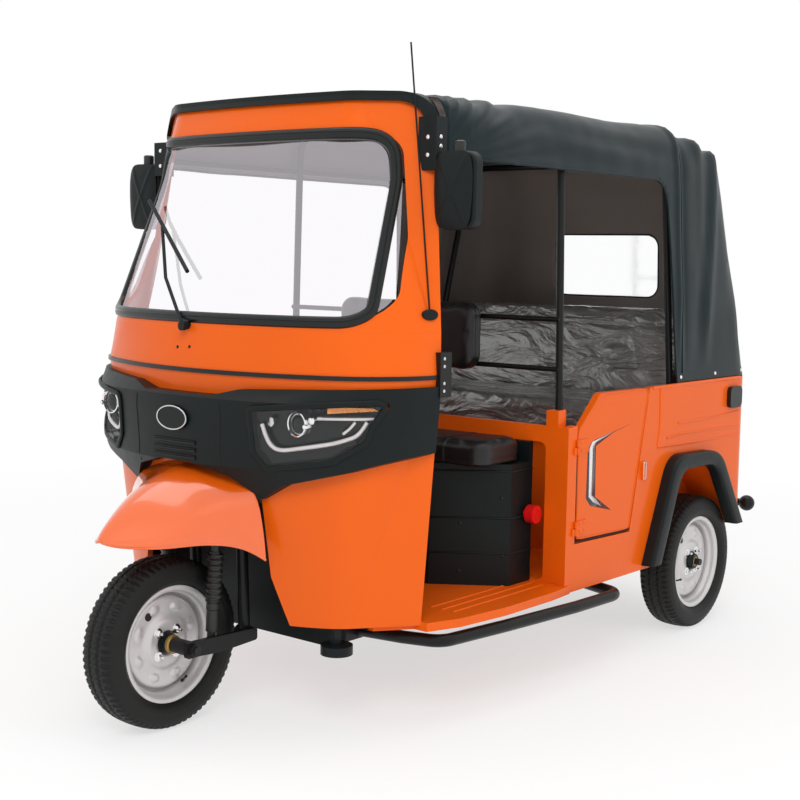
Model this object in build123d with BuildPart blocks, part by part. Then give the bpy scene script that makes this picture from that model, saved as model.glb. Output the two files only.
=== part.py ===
from build123d import *

from math import hypot
import os

# Passenger auto rickshaw: a three-wheeler with a steered front wheel, a driver's cab behind a curved cowl, and a
# rear bench under a fabric canopy.
# Frame: millimetres, +Z up, -Y forward, +X to the vehicle's own left, origin on the ground in the middle of the
# overall length and width. Places along the vehicle are stations, the distance behind the front axle, and back()
# turns a station into Y.

# ---------------------------------------------------------------- driving dimensions
WHEELBASE = 2000.0
REAR_OVERHANG = 440.0  # rear axle to the back of the bumper
BODY_HALF_WIDTH = 630.0
REAR_TRACK = 2 * BODY_HALF_WIDTH - 136.0

TYRE_RADIUS = 240.0
TYRE_WIDTH = 124.0
RIM_RADIUS = 164.5  # over the flanges
RIM_BARREL_RADIUS = 150.0
RIM_WIDTH = 92.0
RIM_METAL = 5.0
DISC_RADIUS = 126.0
DISC_INSET = 34.0  # the disc's face, in from the rim's outer edge
HUB_RADIUS = 34.0
STUB_RADIUS = 12.0  # axle pins
PIN_CLEARANCE = 0.3
SKIN_GAP = 0.3  # between pieces that lie against each other

SILL_Z = 285.0
FLOOR_TOP_Z = 310.0
TUB_TOP_Z = 900.0
PANEL_WALL = 24.0
COWL_WALL = 18.0

COWL_BOTTOM_Z = 300.0
BELT_Z = 997.0
BELT_GAP = 12.0  # between the lower and the upper cowl, filled by a trim strip
SCREEN_SILL_Z = 1115.0
HEADER_Z = 1758.0
POST_STATION = 450.0  # rear edge of the door posts, up to the belt
HEADER_STATION = 515.0  # and at the header

PARTITION_STATION = WHEELBASE - 915.0  # front face of the partition behind the driver
PARTITION_WALL = 22.0
PARTITION_TOP_Z = 805.0
TUB_CORNER = 80.0

ROOF_SIDE_Z = 1588.0  # lower edge of the canopy over the doors
RAIL_X = BODY_HALF_WIDTH - 300.0  # chassis rails
PILLAR_X = BODY_HALF_WIDTH - 61.0

STEER_RAKE = 22.0  # steering axis, leaning back from upright
STEER_TRAIL = 62.0
FORK_HALF_SPACING = 98.0
HANDLEBAR_Z = 985.0
HANDLEBAR_HALF = 290.0

OVERALL_LENGTH = TYRE_RADIUS + WHEELBASE + REAR_OVERHANG
FRONT_AXLE_Y = TYRE_RADIUS - OVERALL_LENGTH / 2
PARTITION_BACK = PARTITION_STATION + PARTITION_WALL
TUB_REAR = WHEELBASE + 330.0
BEYOND = 800.0  # cutting blocks run this far past the body

os.makedirs("parts", exist_ok=True)


def back(station):
    """Y of a station."""
    return FRONT_AXLE_Y + station


def round_bar(start, end, radius):
    """A straight round bar between two points."""
    run = Vector(end) - Vector(start)
    with BuildPart() as bar:
        with BuildSketch(Plane(origin=start, z_dir=run)):
            Circle(radius)
        extrude(amount=run.length)
    return bar.part


def side_view_block(points, near_x=-BEYOND, far_x=BEYOND):
    """A block with the given outline, station then z, run across the vehicle."""
    with BuildPart() as block:
        with BuildSketch(Plane.YZ.offset(near_x)):
            with BuildLine():
                Polyline(*[(back(station), z) for station, z in points], close=True)
            make_face()
        extrude(amount=far_x - near_x)
    return block.part


def front_view_block(points, rounding, front_station, rear_station):
    """A block with the given outline, x then z, run along the vehicle."""
    with BuildPart() as block:
        with BuildSketch(Plane.XZ.offset(-back(front_station))) as outline:
            with BuildLine():
                Polyline(*points, close=True)
            make_face()
            if rounding:
                fillet(outline.vertices(), rounding)
        extrude(amount=front_station - rear_station)
    return block.part


def both_halves(points):
    """A closed outline, x then z, from the points of its right half."""
    return points + [(-x, z) for x, z in reversed(points)]


# ---------------------------------------------------------------- wheels
HALF_TRACK = REAR_TRACK / 2
TREAD_SHOULDER = 9.0
CROWN_DROP = 9.0
bead_half = RIM_WIDTH / 2 - RIM_METAL - SKIN_GAP
seat_radius = RIM_BARREL_RADIUS + SKIN_GAP
lip_radius = RIM_RADIUS + SKIN_GAP
shoulder_x = TYRE_WIDTH / 2 - TREAD_SHOULDER
shoulder_radius = TYRE_RADIUS - CROWN_DROP
waist_radius = (RIM_BARREL_RADIUS + TYRE_RADIUS) / 2
with BuildPart() as tyre_form:
    with BuildSketch(Plane.XY):
        with BuildLine():
            Polyline((-bead_half, lip_radius), (-bead_half, seat_radius), (bead_half, seat_radius), (bead_half, lip_radius))
            ThreePointArc((bead_half, lip_radius), (TYRE_WIDTH / 2, waist_radius), (shoulder_x, shoulder_radius))
            ThreePointArc((shoulder_x, shoulder_radius), (0, TYRE_RADIUS), (-shoulder_x, shoulder_radius))
            ThreePointArc((-shoulder_x, shoulder_radius), (-TYRE_WIDTH / 2, waist_radius), (-bead_half, lip_radius))
        make_face()
    revolve(axis=Axis.X)

# the disc slopes from the barrel to a raised ring round the hub, columns: distance out from its face, radius
DISC_OUTLINE = [
    (-16.0, RIM_BARREL_RADIUS - RIM_METAL + 1),
    (-22.0, RIM_BARREL_RADIUS - RIM_METAL + 1),
    (-6.0, DISC_RADIUS - 4),
    (-6.0, 70.0),
    (6.0, 58.0),
    (6.0, STUB_RADIUS + PIN_CLEARANCE),
    (12.0, STUB_RADIUS + PIN_CLEARANCE),
    (12.0, 60.0),
    (0.0, 74.0),
    (0.0, DISC_RADIUS),
]
rim_half = RIM_WIDTH / 2
disc_face = rim_half - DISC_INSET
with BuildPart() as rim_form:
    with BuildSketch(Plane.XY):
        with BuildLine():
            Polyline(
                (-rim_half, RIM_RADIUS),
                (-rim_half + RIM_METAL, RIM_RADIUS),
                (-rim_half + RIM_METAL, RIM_BARREL_RADIUS),
                (rim_half - RIM_METAL, RIM_BARREL_RADIUS),
                (rim_half - RIM_METAL, RIM_RADIUS),
                (rim_half, RIM_RADIUS),
                (rim_half, RIM_BARREL_RADIUS - RIM_METAL),
                (-rim_half, RIM_BARREL_RADIUS - RIM_METAL),
                close=True,
            )
        make_face()
        with BuildLine():
            Polyline(*[(disc_face + out, radius) for out, radius in DISC_OUTLINE], close=True)
        make_face()
    revolve(axis=Axis.X)
    with BuildSketch(Plane.YZ.offset(-rim_half)):
        Circle(HUB_RADIUS)
        Circle(STUB_RADIUS + PIN_CLEARANCE, mode=Mode.SUBTRACT)
    extrude(amount=2 * rim_half)

WHEELS = [
    # name, x, station, side that the dish faces
    ("front", 0.0, 0.0, 1),
    ("rear_left", HALF_TRACK, WHEELBASE, 1),
    ("rear_right", -HALF_TRACK, WHEELBASE, -1),
]
for wheel_name, wheel_x, wheel_station, dish_side in WHEELS:
    hub_place = Location((wheel_x, back(wheel_station), TYRE_RADIUS))
    facing = rim_form.part if dish_side > 0 else mirror(rim_form.part, about=Plane.YZ, mode=Mode.PRIVATE)
    with BuildPart() as tyre:
        add(tyre_form.part.moved(hub_place))
    tyre.part.label = f"{wheel_name}_tyre"
    export_step(tyre.part, f"parts/{wheel_name}_tyre.step")
    with BuildPart() as rim:
        add(facing.moved(hub_place))
    rim.part.label = f"{wheel_name}_rim"
    export_step(rim.part, f"parts/{wheel_name}_rim.step")

# ---------------------------------------------------------------- steering
rake = Vector(0, 1, 0).rotate(Axis.X, 90 - STEER_RAKE)  # up the steering axis
steer_foot = Vector(0, back(-STEER_TRAIL), 0)


def on_steering_axis(z):
    """The point of the steering axis at height z."""
    return steer_foot + rake * (z / rake.Z)


CROWN_Z = 528.0
CROWN_THICK = 26.0
LEG_STATION = 212.0
LEG_RADIUS = 17.0
PIVOT_STATION = 226.0
PIVOT_Z = 238.0
PIVOT_BOSS = 4.0  # each pivot boss stands this far out from its leg
COLUMN_RADIUS = 22.0
CLAMP_DROP = 14.0  # top of the column, below the handlebar
SHOCK_TOP_STATION = 116.0
SHOCK_FOOT_STATION = 96.0
SHOCK_RADIUS = 19.0
SHOCK_EYE = 13.0
LINK_WIDTH = 14.0
LINK_HEIGHT = 34.0
link_inner = FORK_HALF_SPACING + LEG_RADIUS + PIVOT_BOSS
link_outer = link_inner + LINK_WIDTH
crown_middle_z = CROWN_Z + CROWN_THICK / 2

with BuildPart() as fork:
    with BuildSketch(Plane.XY.offset(CROWN_Z)):
        with Locations((0, back((SHOCK_TOP_STATION + LEG_STATION) / 2))):
            RectangleRounded(
                2 * (FORK_HALF_SPACING + LEG_RADIUS) + 6, LEG_STATION - SHOCK_TOP_STATION + 2 * SHOCK_RADIUS + 6, 20
            )
    extrude(amount=CROWN_THICK)
    for side in (-1, 1):
        leg_top = Vector(side * FORK_HALF_SPACING, back(LEG_STATION), crown_middle_z)
        leg_foot = Vector(side * FORK_HALF_SPACING, back(PIVOT_STATION), PIVOT_Z)
        with BuildSketch(Plane(origin=leg_top, z_dir=leg_foot - leg_top)):
            Circle(LEG_RADIUS)
        extrude(amount=(leg_foot - leg_top).length)
        with BuildSketch(Plane(origin=leg_foot - Vector(LEG_RADIUS + PIVOT_BOSS, 0, 0), z_dir=(1, 0, 0))):
            Circle(LEG_RADIUS + 6)
        extrude(amount=2 * (LEG_RADIUS + PIVOT_BOSS))
    # column up to the handlebar
    column_foot = on_steering_axis(CROWN_Z + 4)
    column_top = on_steering_axis(HANDLEBAR_Z) - rake * CLAMP_DROP
    with BuildSketch(Plane(origin=column_foot, z_dir=rake)):
        Circle(COLUMN_RADIUS)
    extrude(amount=(column_top - column_foot).length)
fork.part.label = "fork"
export_step(fork.part, "parts/fork.step")

with BuildPart() as link_arms:
    with BuildSketch(Plane.YZ.offset(link_inner)) as link_face:
        with BuildLine():
            Polyline(
                (back(-24), TYRE_RADIUS - 22),
                (back(-24), TYRE_RADIUS + 22),
                (back(24), TYRE_RADIUS + 22),
                (back(PIVOT_STATION + 18), PIVOT_Z + LINK_HEIGHT / 2),
                (back(PIVOT_STATION + 18), PIVOT_Z - LINK_HEIGHT / 2),
                (back(SHOCK_FOOT_STATION), PIVOT_Z - LINK_HEIGHT / 2 - 8),
                (back(24), TYRE_RADIUS - 22),
                close=True,
            )
        make_face()
        fillet(link_face.vertices(), 8)
        with Locations((back(0), TYRE_RADIUS)):
            Circle(STUB_RADIUS + 0.05, mode=Mode.SUBTRACT)
    extrude(amount=LINK_WIDTH)
    mirror(about=Plane.YZ)
link_arms.part.label = "link_arms"
export_step(link_arms.part, "parts/link_arms.step")

# the pin is held by the link arms, with a nut at each end and a spacer beside the hub
PIN_END = 18.0
with BuildPart() as front_axle:
    with BuildSketch(Plane(origin=(-link_outer - PIN_END, back(0), TYRE_RADIUS), z_dir=(1, 0, 0))):
        Circle(STUB_RADIUS)
    extrude(amount=2 * (link_outer + PIN_END))
    for side in (-1, 1):
        with BuildSketch(Plane(origin=(side * link_outer, back(0), TYRE_RADIUS), z_dir=(side, 0, 0))):
            RegularPolygon(STUB_RADIUS + 7, 6)
        extrude(amount=10)
        with BuildSketch(Plane(origin=(side * (rim_half + 6), back(0), TYRE_RADIUS), z_dir=(side, 0, 0))):
            Circle(STUB_RADIUS + 9)
        extrude(amount=link_inner - rim_half - 6)
front_axle.part.label = "front_axle"
export_step(front_axle.part, "parts/front_axle.step")

BELLOWS_RINGS = 6
BELLOWS_PITCH = 27.0
shock_foot = Vector(FORK_HALF_SPACING, back(SHOCK_FOOT_STATION), PIVOT_Z)
shock_top = Vector(FORK_HALF_SPACING, back(SHOCK_TOP_STATION), CROWN_Z)
shock_frame = Plane(origin=shock_foot, z_dir=shock_top - shock_foot)
with BuildPart() as shocks:
    with BuildSketch(Plane(origin=shock_foot - Vector(12, 0, 0), z_dir=(1, 0, 0))):
        Circle(SHOCK_EYE)
    extrude(amount=link_inner - FORK_HALF_SPACING + 12)
    with BuildSketch(shock_frame):
        Circle(12)
    extrude(amount=(shock_top - shock_foot).length + 12)
    add(fork.part, mode=Mode.SUBTRACT)
    with BuildSketch(shock_frame.offset(30)):
        Circle(SHOCK_RADIUS - 2)
    extrude(amount=60)
    for ring in range(BELLOWS_RINGS):
        with BuildSketch(shock_frame.offset(92 + ring * BELLOWS_PITCH)):
            Circle(SHOCK_RADIUS)
        extrude(amount=18)
        with BuildSketch(shock_frame.offset(110 + ring * BELLOWS_PITCH)):
            Circle(SHOCK_RADIUS - 3)
        extrude(amount=9)
    mirror(about=Plane.YZ)
shocks.part.label = "shocks"
export_step(shocks.part, "parts/shocks.step")

GRIP_LENGTH = 120.0
bar_point = on_steering_axis(HANDLEBAR_Z)
with BuildPart() as handlebar:
    with BuildSketch(Plane(origin=(-HANDLEBAR_HALF, bar_point.Y, bar_point.Z), z_dir=(1, 0, 0))):
        Circle(11)
    extrude(amount=2 * HANDLEBAR_HALF)
    for side in (-1, 1):
        grip_start = (side * (HANDLEBAR_HALF - GRIP_LENGTH), bar_point.Y, bar_point.Z)
        with BuildSketch(Plane(origin=grip_start, z_dir=(side, 0, 0))):
            Circle(16)
        extrude(amount=GRIP_LENGTH)
    # headset cover that carries the clamp
    with BuildSketch(Plane(origin=bar_point - rake * CLAMP_DROP, z_dir=rake)):
        RectangleRounded(170, 74, 24)
    extrude(amount=44)
handlebar.part.label = "handlebar"
export_step(handlebar.part, "parts/handlebar.step")

# ---------------------------------------------------------------- cowl
# plan sections, columns: height, half width at the door posts, half width where the bowed front ends, station of the
# nose, how far the front's ends lie behind it, corner radius, station of the door posts
SKIRT_FOOT = (COWL_BOTTOM_Z, BODY_HALF_WIDTH - 63, BODY_HALF_WIDTH - 204, 140.0, 122.0, 220.0, POST_STATION)
BELT_LINE = (BELT_Z, BODY_HALF_WIDTH - 10, BODY_HALF_WIDTH - 32, 93.0, 190.0, 307.0, POST_STATION)
SCREEN_SILL = (SCREEN_SILL_Z, BODY_HALF_WIDTH - 15, BODY_HALF_WIDTH - 76, 104.0, 140.0, 430.0, POST_STATION + 5)
HEADER = (HEADER_Z, BODY_HALF_WIDTH - 97, BODY_HALF_WIDTH - 276, 355.0, 25.0, 120.0, HEADER_STATION)
SPILL = 60.0  # how far a cutting body runs past the posts


def between(low, high, z):
    """The section at a height between two sections of a table."""
    share = (z - low[0]) / (high[0] - low[0])
    return tuple(a + (b - a) * share for a, b in zip(low, high))


def side_half(section, station, grow=0.0):
    """Half width of a section's straight side at a station, with the outline grown outwards by grow."""
    z, half_post, half_front, nose, bow, radius, post = section
    run = post - nose - bow
    rise = half_post - half_front
    return half_front + rise * (station - nose - bow) / run + grow * hypot(rise, run) / run


def plan_outline(section, grow, reach):
    """Plan outline of the cowl at one height, grown outwards by grow, its sides run on past the posts by reach."""
    z, half_post, half_front, nose, bow, radius, post = section
    front_half = side_half(section, nose + bow - grow, grow)
    front_y = back(nose + bow - grow)
    rear_half = side_half(section, post + reach, grow)
    with BuildSketch(Plane.XY.offset(z)) as outline:
        with BuildLine():
            ThreePointArc((-front_half, front_y), (0, back(nose - grow)), (front_half, front_y))
            Polyline(
                (front_half, front_y), (rear_half, back(post + reach)), (-rear_half, back(post + reach)), (-front_half, front_y)
            )
        make_face()
        fillet(outline.vertices().group_by(Axis.Y)[0], radius + grow)
    return outline.sketch


def cowl_form(sections, grow=0.0, reach=0.0):
    """A solid through the sections of a table, from the lowest up."""
    with BuildPart() as form:
        for low, high in zip(sections, sections[1:]):
            loft([plan_outline(low, grow, reach), plan_outline(high, grow, reach)], ruled=True)
    return form.part


# wheel arch, seen from the front: it narrows upwards under the fender. Columns: x, z
ARCH_OUTLINE = [
    (304.0, COWL_BOTTOM_Z - 40),
    (304.0, COWL_BOTTOM_Z),
    (258.0, 435.0),
    (240.0, 690.0),
]
lower_sections = [SKIRT_FOOT, between(SKIRT_FOOT, BELT_LINE, BELT_Z - BELT_GAP / 2)]
lower_outer = cowl_form(lower_sections)
lower_inner = cowl_form(lower_sections, -COWL_WALL, SPILL)
wheel_arch = front_view_block(both_halves(ARCH_OUTLINE), 0, -BEYOND, 300)
with BuildPart() as lower_cowl:
    add(lower_outer)
    add(lower_inner, mode=Mode.SUBTRACT)
    add(wheel_arch, mode=Mode.SUBTRACT)
lower_cowl.part.label = "lower_cowl"
export_step(lower_cowl.part, "parts/lower_cowl.step")

# windscreen opening, seen from the front
SCREEN_BOTTOM_Z = SCREEN_SILL_Z + 31.0
SCREEN_TOP_Z = HEADER_Z - 102.0
SCREEN_HALF_BOTTOM = BODY_HALF_WIDTH - 75.0
SCREEN_HALF_TOP = BODY_HALF_WIDTH - 157.0
SCREEN_CORNER = 74.0
SCREEN_REAR = HEADER_STATION - 15.0
SEAL_LAP = 15.0
SEAL_PROUD = 9.0
GLASS_SET = 8.0  # glass face, in from the cowl's surface
GLASS_THICK = 5.0
SIDE_LEAN = 0.77  # the screen's sides face outwards, so a band of one width looks this much narrower from the front


def screen_block(grow):
    """The windscreen opening's outline, grown by grow, as a block through the cowl's front."""
    side_grow = grow * SIDE_LEAN
    outline = [
        (SCREEN_HALF_BOTTOM + side_grow, SCREEN_BOTTOM_Z - grow),
        (SCREEN_HALF_TOP + side_grow, SCREEN_TOP_Z + grow),
    ]
    return front_view_block(both_halves(outline), SCREEN_CORNER + grow, -BEYOND, SCREEN_REAR)


HEADER_CORNER = 90.0


def header_block(grow, foot_z):
    """All that lies inside the cab's outline seen from the front, above foot_z, with its top corners rounded."""
    lean = (SCREEN_SILL[1] - HEADER[1]) / (HEADER_Z - SCREEN_SILL_Z)
    top_half = HEADER[1] + 2 + grow
    foot_half = top_half + lean * (HEADER_Z + grow - foot_z)
    with BuildPart() as block:
        with BuildSketch(Plane.XZ.offset(-back(-BEYOND))) as outline:
            with BuildLine():
                Polyline(
                    (-foot_half, foot_z), (foot_half, foot_z), (top_half, HEADER_Z + grow), (-top_half, HEADER_Z + grow),
                    close=True,
                )
            make_face()
            fillet(outline.vertices().group_by(Axis.Y)[-1], HEADER_CORNER + grow)
        extrude(amount=-2 * BEYOND)
    return block.part


ROOF_SKIN = 12.0
upper_sections = [between(BELT_LINE, SCREEN_SILL, BELT_Z + BELT_GAP / 2), SCREEN_SILL, HEADER]
screen_sections = [SCREEN_SILL, HEADER]
upper_outer = cowl_form(upper_sections)
upper_inner = cowl_form(upper_sections, -COWL_WALL, SPILL)
screen_opening = screen_block(0)
cab_outline = header_block(0, BELT_Z)
roof_plan = plan_outline(HEADER, -1, 0)
with BuildPart() as upper_cowl:
    add(upper_outer)
    add(upper_inner, mode=Mode.SUBTRACT)
    add(screen_opening, mode=Mode.SUBTRACT)
    extrude(roof_plan, amount=-ROOF_SKIN)
    add(cab_outline, mode=Mode.INTERSECT)
upper_cowl.part.label = "upper_cowl"
export_step(upper_cowl.part, "parts/upper_cowl.step")

glass_outer = cowl_form(screen_sections, -GLASS_SET)
glass_inner = cowl_form(screen_sections, -GLASS_SET - GLASS_THICK, SPILL)
glass_outline = screen_block(-4)
with BuildPart() as windshield_glass:
    add(glass_outer)
    add(glass_inner, mode=Mode.SUBTRACT)
    add(glass_outline, mode=Mode.INTERSECT)
windshield_glass.part.label = "windshield_glass"
export_step(windshield_glass.part, "parts/windshield_glass.step")

seal_outer = cowl_form(screen_sections, SEAL_PROUD)
seal_inner = cowl_form(screen_sections, -COWL_WALL - 2, SPILL)
seal_outline = screen_block(SEAL_LAP)
seal_mouth = screen_block(-SEAL_LAP)
with BuildPart() as windshield_seal:
    add(seal_outer)
    add(seal_inner, mode=Mode.SUBTRACT)
    add(seal_outline, mode=Mode.INTERSECT)
    add(seal_mouth, mode=Mode.SUBTRACT)
    add(upper_cowl.part, mode=Mode.SUBTRACT)
    add(windshield_glass.part, mode=Mode.SUBTRACT)
windshield_seal.part.label = "windshield_seal"
export_step(windshield_seal.part, "parts/windshield_seal.step")

TRIM_PROUD = 5.0
trim_sections = [
    between(SKIRT_FOOT, BELT_LINE, BELT_Z - BELT_GAP / 2 + SKIN_GAP),
    between(BELT_LINE, SCREEN_SILL, BELT_Z + BELT_GAP / 2 - SKIN_GAP),
]
trim_outer = cowl_form(trim_sections, TRIM_PROUD)
trim_inner = cowl_form(trim_sections, -COWL_WALL, SPILL)
with BuildPart() as belt_trim:
    add(trim_outer)
    add(trim_inner, mode=Mode.SUBTRACT)
belt_trim.part.label = "belt_trim"
export_step(belt_trim.part, "parts/belt_trim.step")

# ---------------------------------------------------------------- lamp panel, lamps, badge
# plan sections of the panel's own surface, with the cowl's columns
PANEL_FRONT = 41.0
PANEL_POST = POST_STATION - 10.0
PANEL_SECTIONS = [
    (650.0, BODY_HALF_WIDTH - 24, BODY_HALF_WIDTH - 106, PANEL_FRONT + 63, 156.0, 275.0, PANEL_POST),
    (745.0, BODY_HALF_WIDTH - 18, BODY_HALF_WIDTH - 50, PANEL_FRONT + 5, 225.0, 400.0, PANEL_POST),
    (930.0, BODY_HALF_WIDTH - 2, BODY_HALF_WIDTH - 75, PANEL_FRONT, 132.0, 450.0, PANEL_POST),
    (975.0, BODY_HALF_WIDTH - 2, BODY_HALF_WIDTH - 28, PANEL_FRONT + 43, 188.0, 314.0, PANEL_POST),
]
# outline seen from the front, right half, from the top edge's middle round to the bottom's. Columns: x, z
PANEL_OUTLINE = [
    (130.0, 937.0),
    (212.0, 957.0),
    (346.0, 963.0),
    (660.0, 974.0),
    (660.0, 808.0),
    (490.0, 744.0),
    (332.0, 702.0),
    (259.0, 657.0),
    (184.0, 717.0),
    (62.0, 748.0),
]
LENS_OUTLINE = [
    (264.0, 914.0),
    (416.0, 927.0),
    (582.0, 940.0),
    (549.0, 873.0),
    (536.0, 822.0),
    (469.0, 771.0),
    (306.0, 745.0),
    (268.0, 792.0),
]
LENS_PROUD = 3.0
panel_outer = cowl_form(PANEL_SECTIONS)
panel_outline = front_view_block(both_halves(PANEL_OUTLINE), 0, -BEYOND, PANEL_POST)
behind_panel = cowl_form(lower_sections, SKIN_GAP, SPILL)
lens_blocks = [
    front_view_block([(side * x, z) for x, z in LENS_OUTLINE], 12, -BEYOND, POST_STATION - 100) for side in (1, -1)
]
lens_outer = cowl_form(PANEL_SECTIONS, LENS_PROUD)
with BuildPart() as lamp_panel:
    add(panel_outer)
    add(panel_outline, mode=Mode.INTERSECT)
    add([behind_panel, lower_cowl.part], mode=Mode.SUBTRACT)
    add(lens_blocks, mode=Mode.SUBTRACT)
lamp_panel.part.label = "lamp_panel"
export_step(lamp_panel.part, "parts/lamp_panel.step")

with BuildPart() as headlamps:
    add(lens_blocks)
    add(lens_outer, mode=Mode.INTERSECT)
    add([behind_panel, lower_cowl.part], mode=Mode.SUBTRACT)
headlamps.part.label = "headlamps"
export_step(headlamps.part, "parts/headlamps.step")

BADGE_Z = 867.0
with BuildPart() as badge:
    with BuildSketch(Plane.XZ.offset(-back(PANEL_FRONT + 12))):
        with Locations((0, BADGE_Z)):
            Ellipse(62.5, 35.5)
    extrude(amount=16)
    add(lamp_panel.part, mode=Mode.SUBTRACT)
badge.part.label = "badge"
export_step(badge.part, "parts/badge.step")

# ---------------------------------------------------------------- front fender, visor, wiper
FENDER_WALL = 7.0
# columns: station, half width at the foot, half width at the shoulder, foot z, shoulder z, crown z
FENDER_SECTIONS = [
    (-212.0, 16.0, 12.0, 549.0, 553.0, 562.0),
    (-195.0, 44.0, 38.0, 543.0, 551.0, 582.0),
    (-165.0, 70.0, 62.0, 539.0, 550.0, 610.0),
    (-110.0, 116.0, 108.0, 536.0, 556.0, 652.0),
    (-50.0, 140.0, 132.0, 537.0, 588.0, 686.0),
    (10.0, 158.0, 148.0, 537.0, 622.0, 708.0),
    (60.0, 200.0, 186.0, 534.0, 648.0, 722.0),
    (92.0, 248.0, 224.0, 524.0, 658.0, 728.0),
    (150.0, 310.0, 262.0, 468.0, 690.0, 752.0),
]


def fender_section(row, inset):
    """One cross-section of the fender, drawn in by inset."""
    station, half_foot, half_shoulder, foot_z, shoulder_z, crown_z = row
    foot = half_foot - inset
    shoulder = half_shoulder - inset
    foot_low = foot_z - 2 * inset
    with BuildSketch(Plane.XZ.offset(-back(station))) as outline:
        with BuildLine():
            Polyline(
                (-shoulder, shoulder_z - inset), (-foot, foot_low), (foot, foot_low), (shoulder, shoulder_z - inset)
            )
            ThreePointArc((shoulder, shoulder_z - inset), (0, crown_z - inset), (-shoulder, shoulder_z - inset))
        make_face()
    return outline.sketch


def fender_form(sections, inset):
    """The fender's form through the sections, drawn in by inset."""
    with BuildPart() as form:
        for near, far in zip(sections, sections[1:]):
            loft([fender_section(near, inset), fender_section(far, inset)], ruled=True)
    return form.part


fender_outer = fender_form(FENDER_SECTIONS, 0)
fender_inner = fender_form(FENDER_SECTIONS[1:], FENDER_WALL)
with BuildPart() as front_fender:
    add(fender_outer)
    add(fender_inner, mode=Mode.SUBTRACT)
    add(behind_panel, mode=Mode.SUBTRACT)
    add(lamp_panel.part, mode=Mode.SUBTRACT)
front_fender.part.label = "front_fender"
export_step(front_fender.part, "parts/front_fender.step")

VISOR_PROUD = 12.0
VISOR_FACE = 14.0  # how far the visor's face reaches down from the cab's outline
VISOR_END_Z = 1692.0
visor_sections = [between(SCREEN_SILL, HEADER, VISOR_END_Z), HEADER, (HEADER_Z + VISOR_PROUD, *HEADER[1:])]
visor_outer = cowl_form(visor_sections, VISOR_PROUD)
cab_form = cowl_form([SCREEN_SILL, HEADER], SKIN_GAP, SPILL)
visor_outline = header_block(VISOR_PROUD, SCREEN_SILL_Z)
visor_mouth = header_block(-VISOR_FACE, SCREEN_SILL_Z)
cab_block = header_block(SKIN_GAP, SCREEN_SILL_Z)
with BuildPart() as under_visor:
    add(cab_form)
    add(cab_block, mode=Mode.INTERSECT)
with BuildPart() as roof_visor:
    add(visor_outer)
    add(visor_outline, mode=Mode.INTERSECT)
    add(visor_mouth, mode=Mode.SUBTRACT)
    add([under_visor.part, upper_cowl.part], mode=Mode.SUBTRACT)
roof_visor.part.label = "roof_visor"
export_step(roof_visor.part, "parts/roof_visor.step")


ARM_RADIUS = 5.0
BLADE_RADIUS = 6.0
SPINDLE_RADIUS = 10.0
SPINDLE_CAP = 13.0
# columns: x, station, z
WIPER_PIVOT = (-8.0, 84.0, SCREEN_SILL_Z + 4)
ARM_BEND = (-146.0, 143.0, SCREEN_SILL_Z + 135)
ARM_HEAD = (-254.0, 224.0, SCREEN_SILL_Z + 289)
BLADE_LOW = (-55.0, 144.0, SCREEN_SILL_Z + 154)
BLADE_HIGH = (-357.0, 265.0, SCREEN_SILL_Z + 359)
wiper_bars = [
    (WIPER_PIVOT, ARM_BEND, ARM_RADIUS),
    (ARM_BEND, ARM_HEAD, ARM_RADIUS),
    (BLADE_LOW, BLADE_HIGH, BLADE_RADIUS),
]
with BuildPart() as wiper:
    for bar_start, bar_end, radius in wiper_bars:
        start = Vector(bar_start[0], back(bar_start[1]), bar_start[2])
        end = Vector(bar_end[0], back(bar_end[1]), bar_end[2])
        with BuildSketch(Plane(origin=start, z_dir=end - start)):
            Circle(radius)
        extrude(amount=(end - start).length)
        with Locations(end):
            Sphere(radius)
    pivot_x, pivot_station, pivot_z = WIPER_PIVOT
    with BuildSketch(Plane.XZ.offset(-back(pivot_station - 6))):
        with Locations((pivot_x, pivot_z)):
            Circle(SPINDLE_CAP)
    extrude(amount=-14)
    with BuildSketch(Plane.XZ.offset(-back(pivot_station))):
        with Locations((pivot_x, pivot_z)):
            Circle(SPINDLE_RADIUS)
    extrude(amount=-32)
    add(upper_cowl.part, mode=Mode.SUBTRACT)
wiper.part.label = "wiper"
export_step(wiper.part, "parts/wiper.step")

# ---------------------------------------------------------------- chassis and floor
RAIL_WIDTH = 40.0
RAIL_LOW = 225.0
RAIL_HIGH = SILL_Z - SKIN_GAP
KICK_STATION = WHEELBASE - 360.0  # where the rails start to climb over the rear axle
KICK_RUN = 90.0
KICK_RISE = 175.0
DECK_Z = RAIL_HIGH + KICK_RISE
RAIL_FRONT = 352.0
RAIL_REAR = TUB_REAR + 66.0
CROSS_DEPTH = 30.0
CROSS_WIDTH = 44.0
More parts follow.
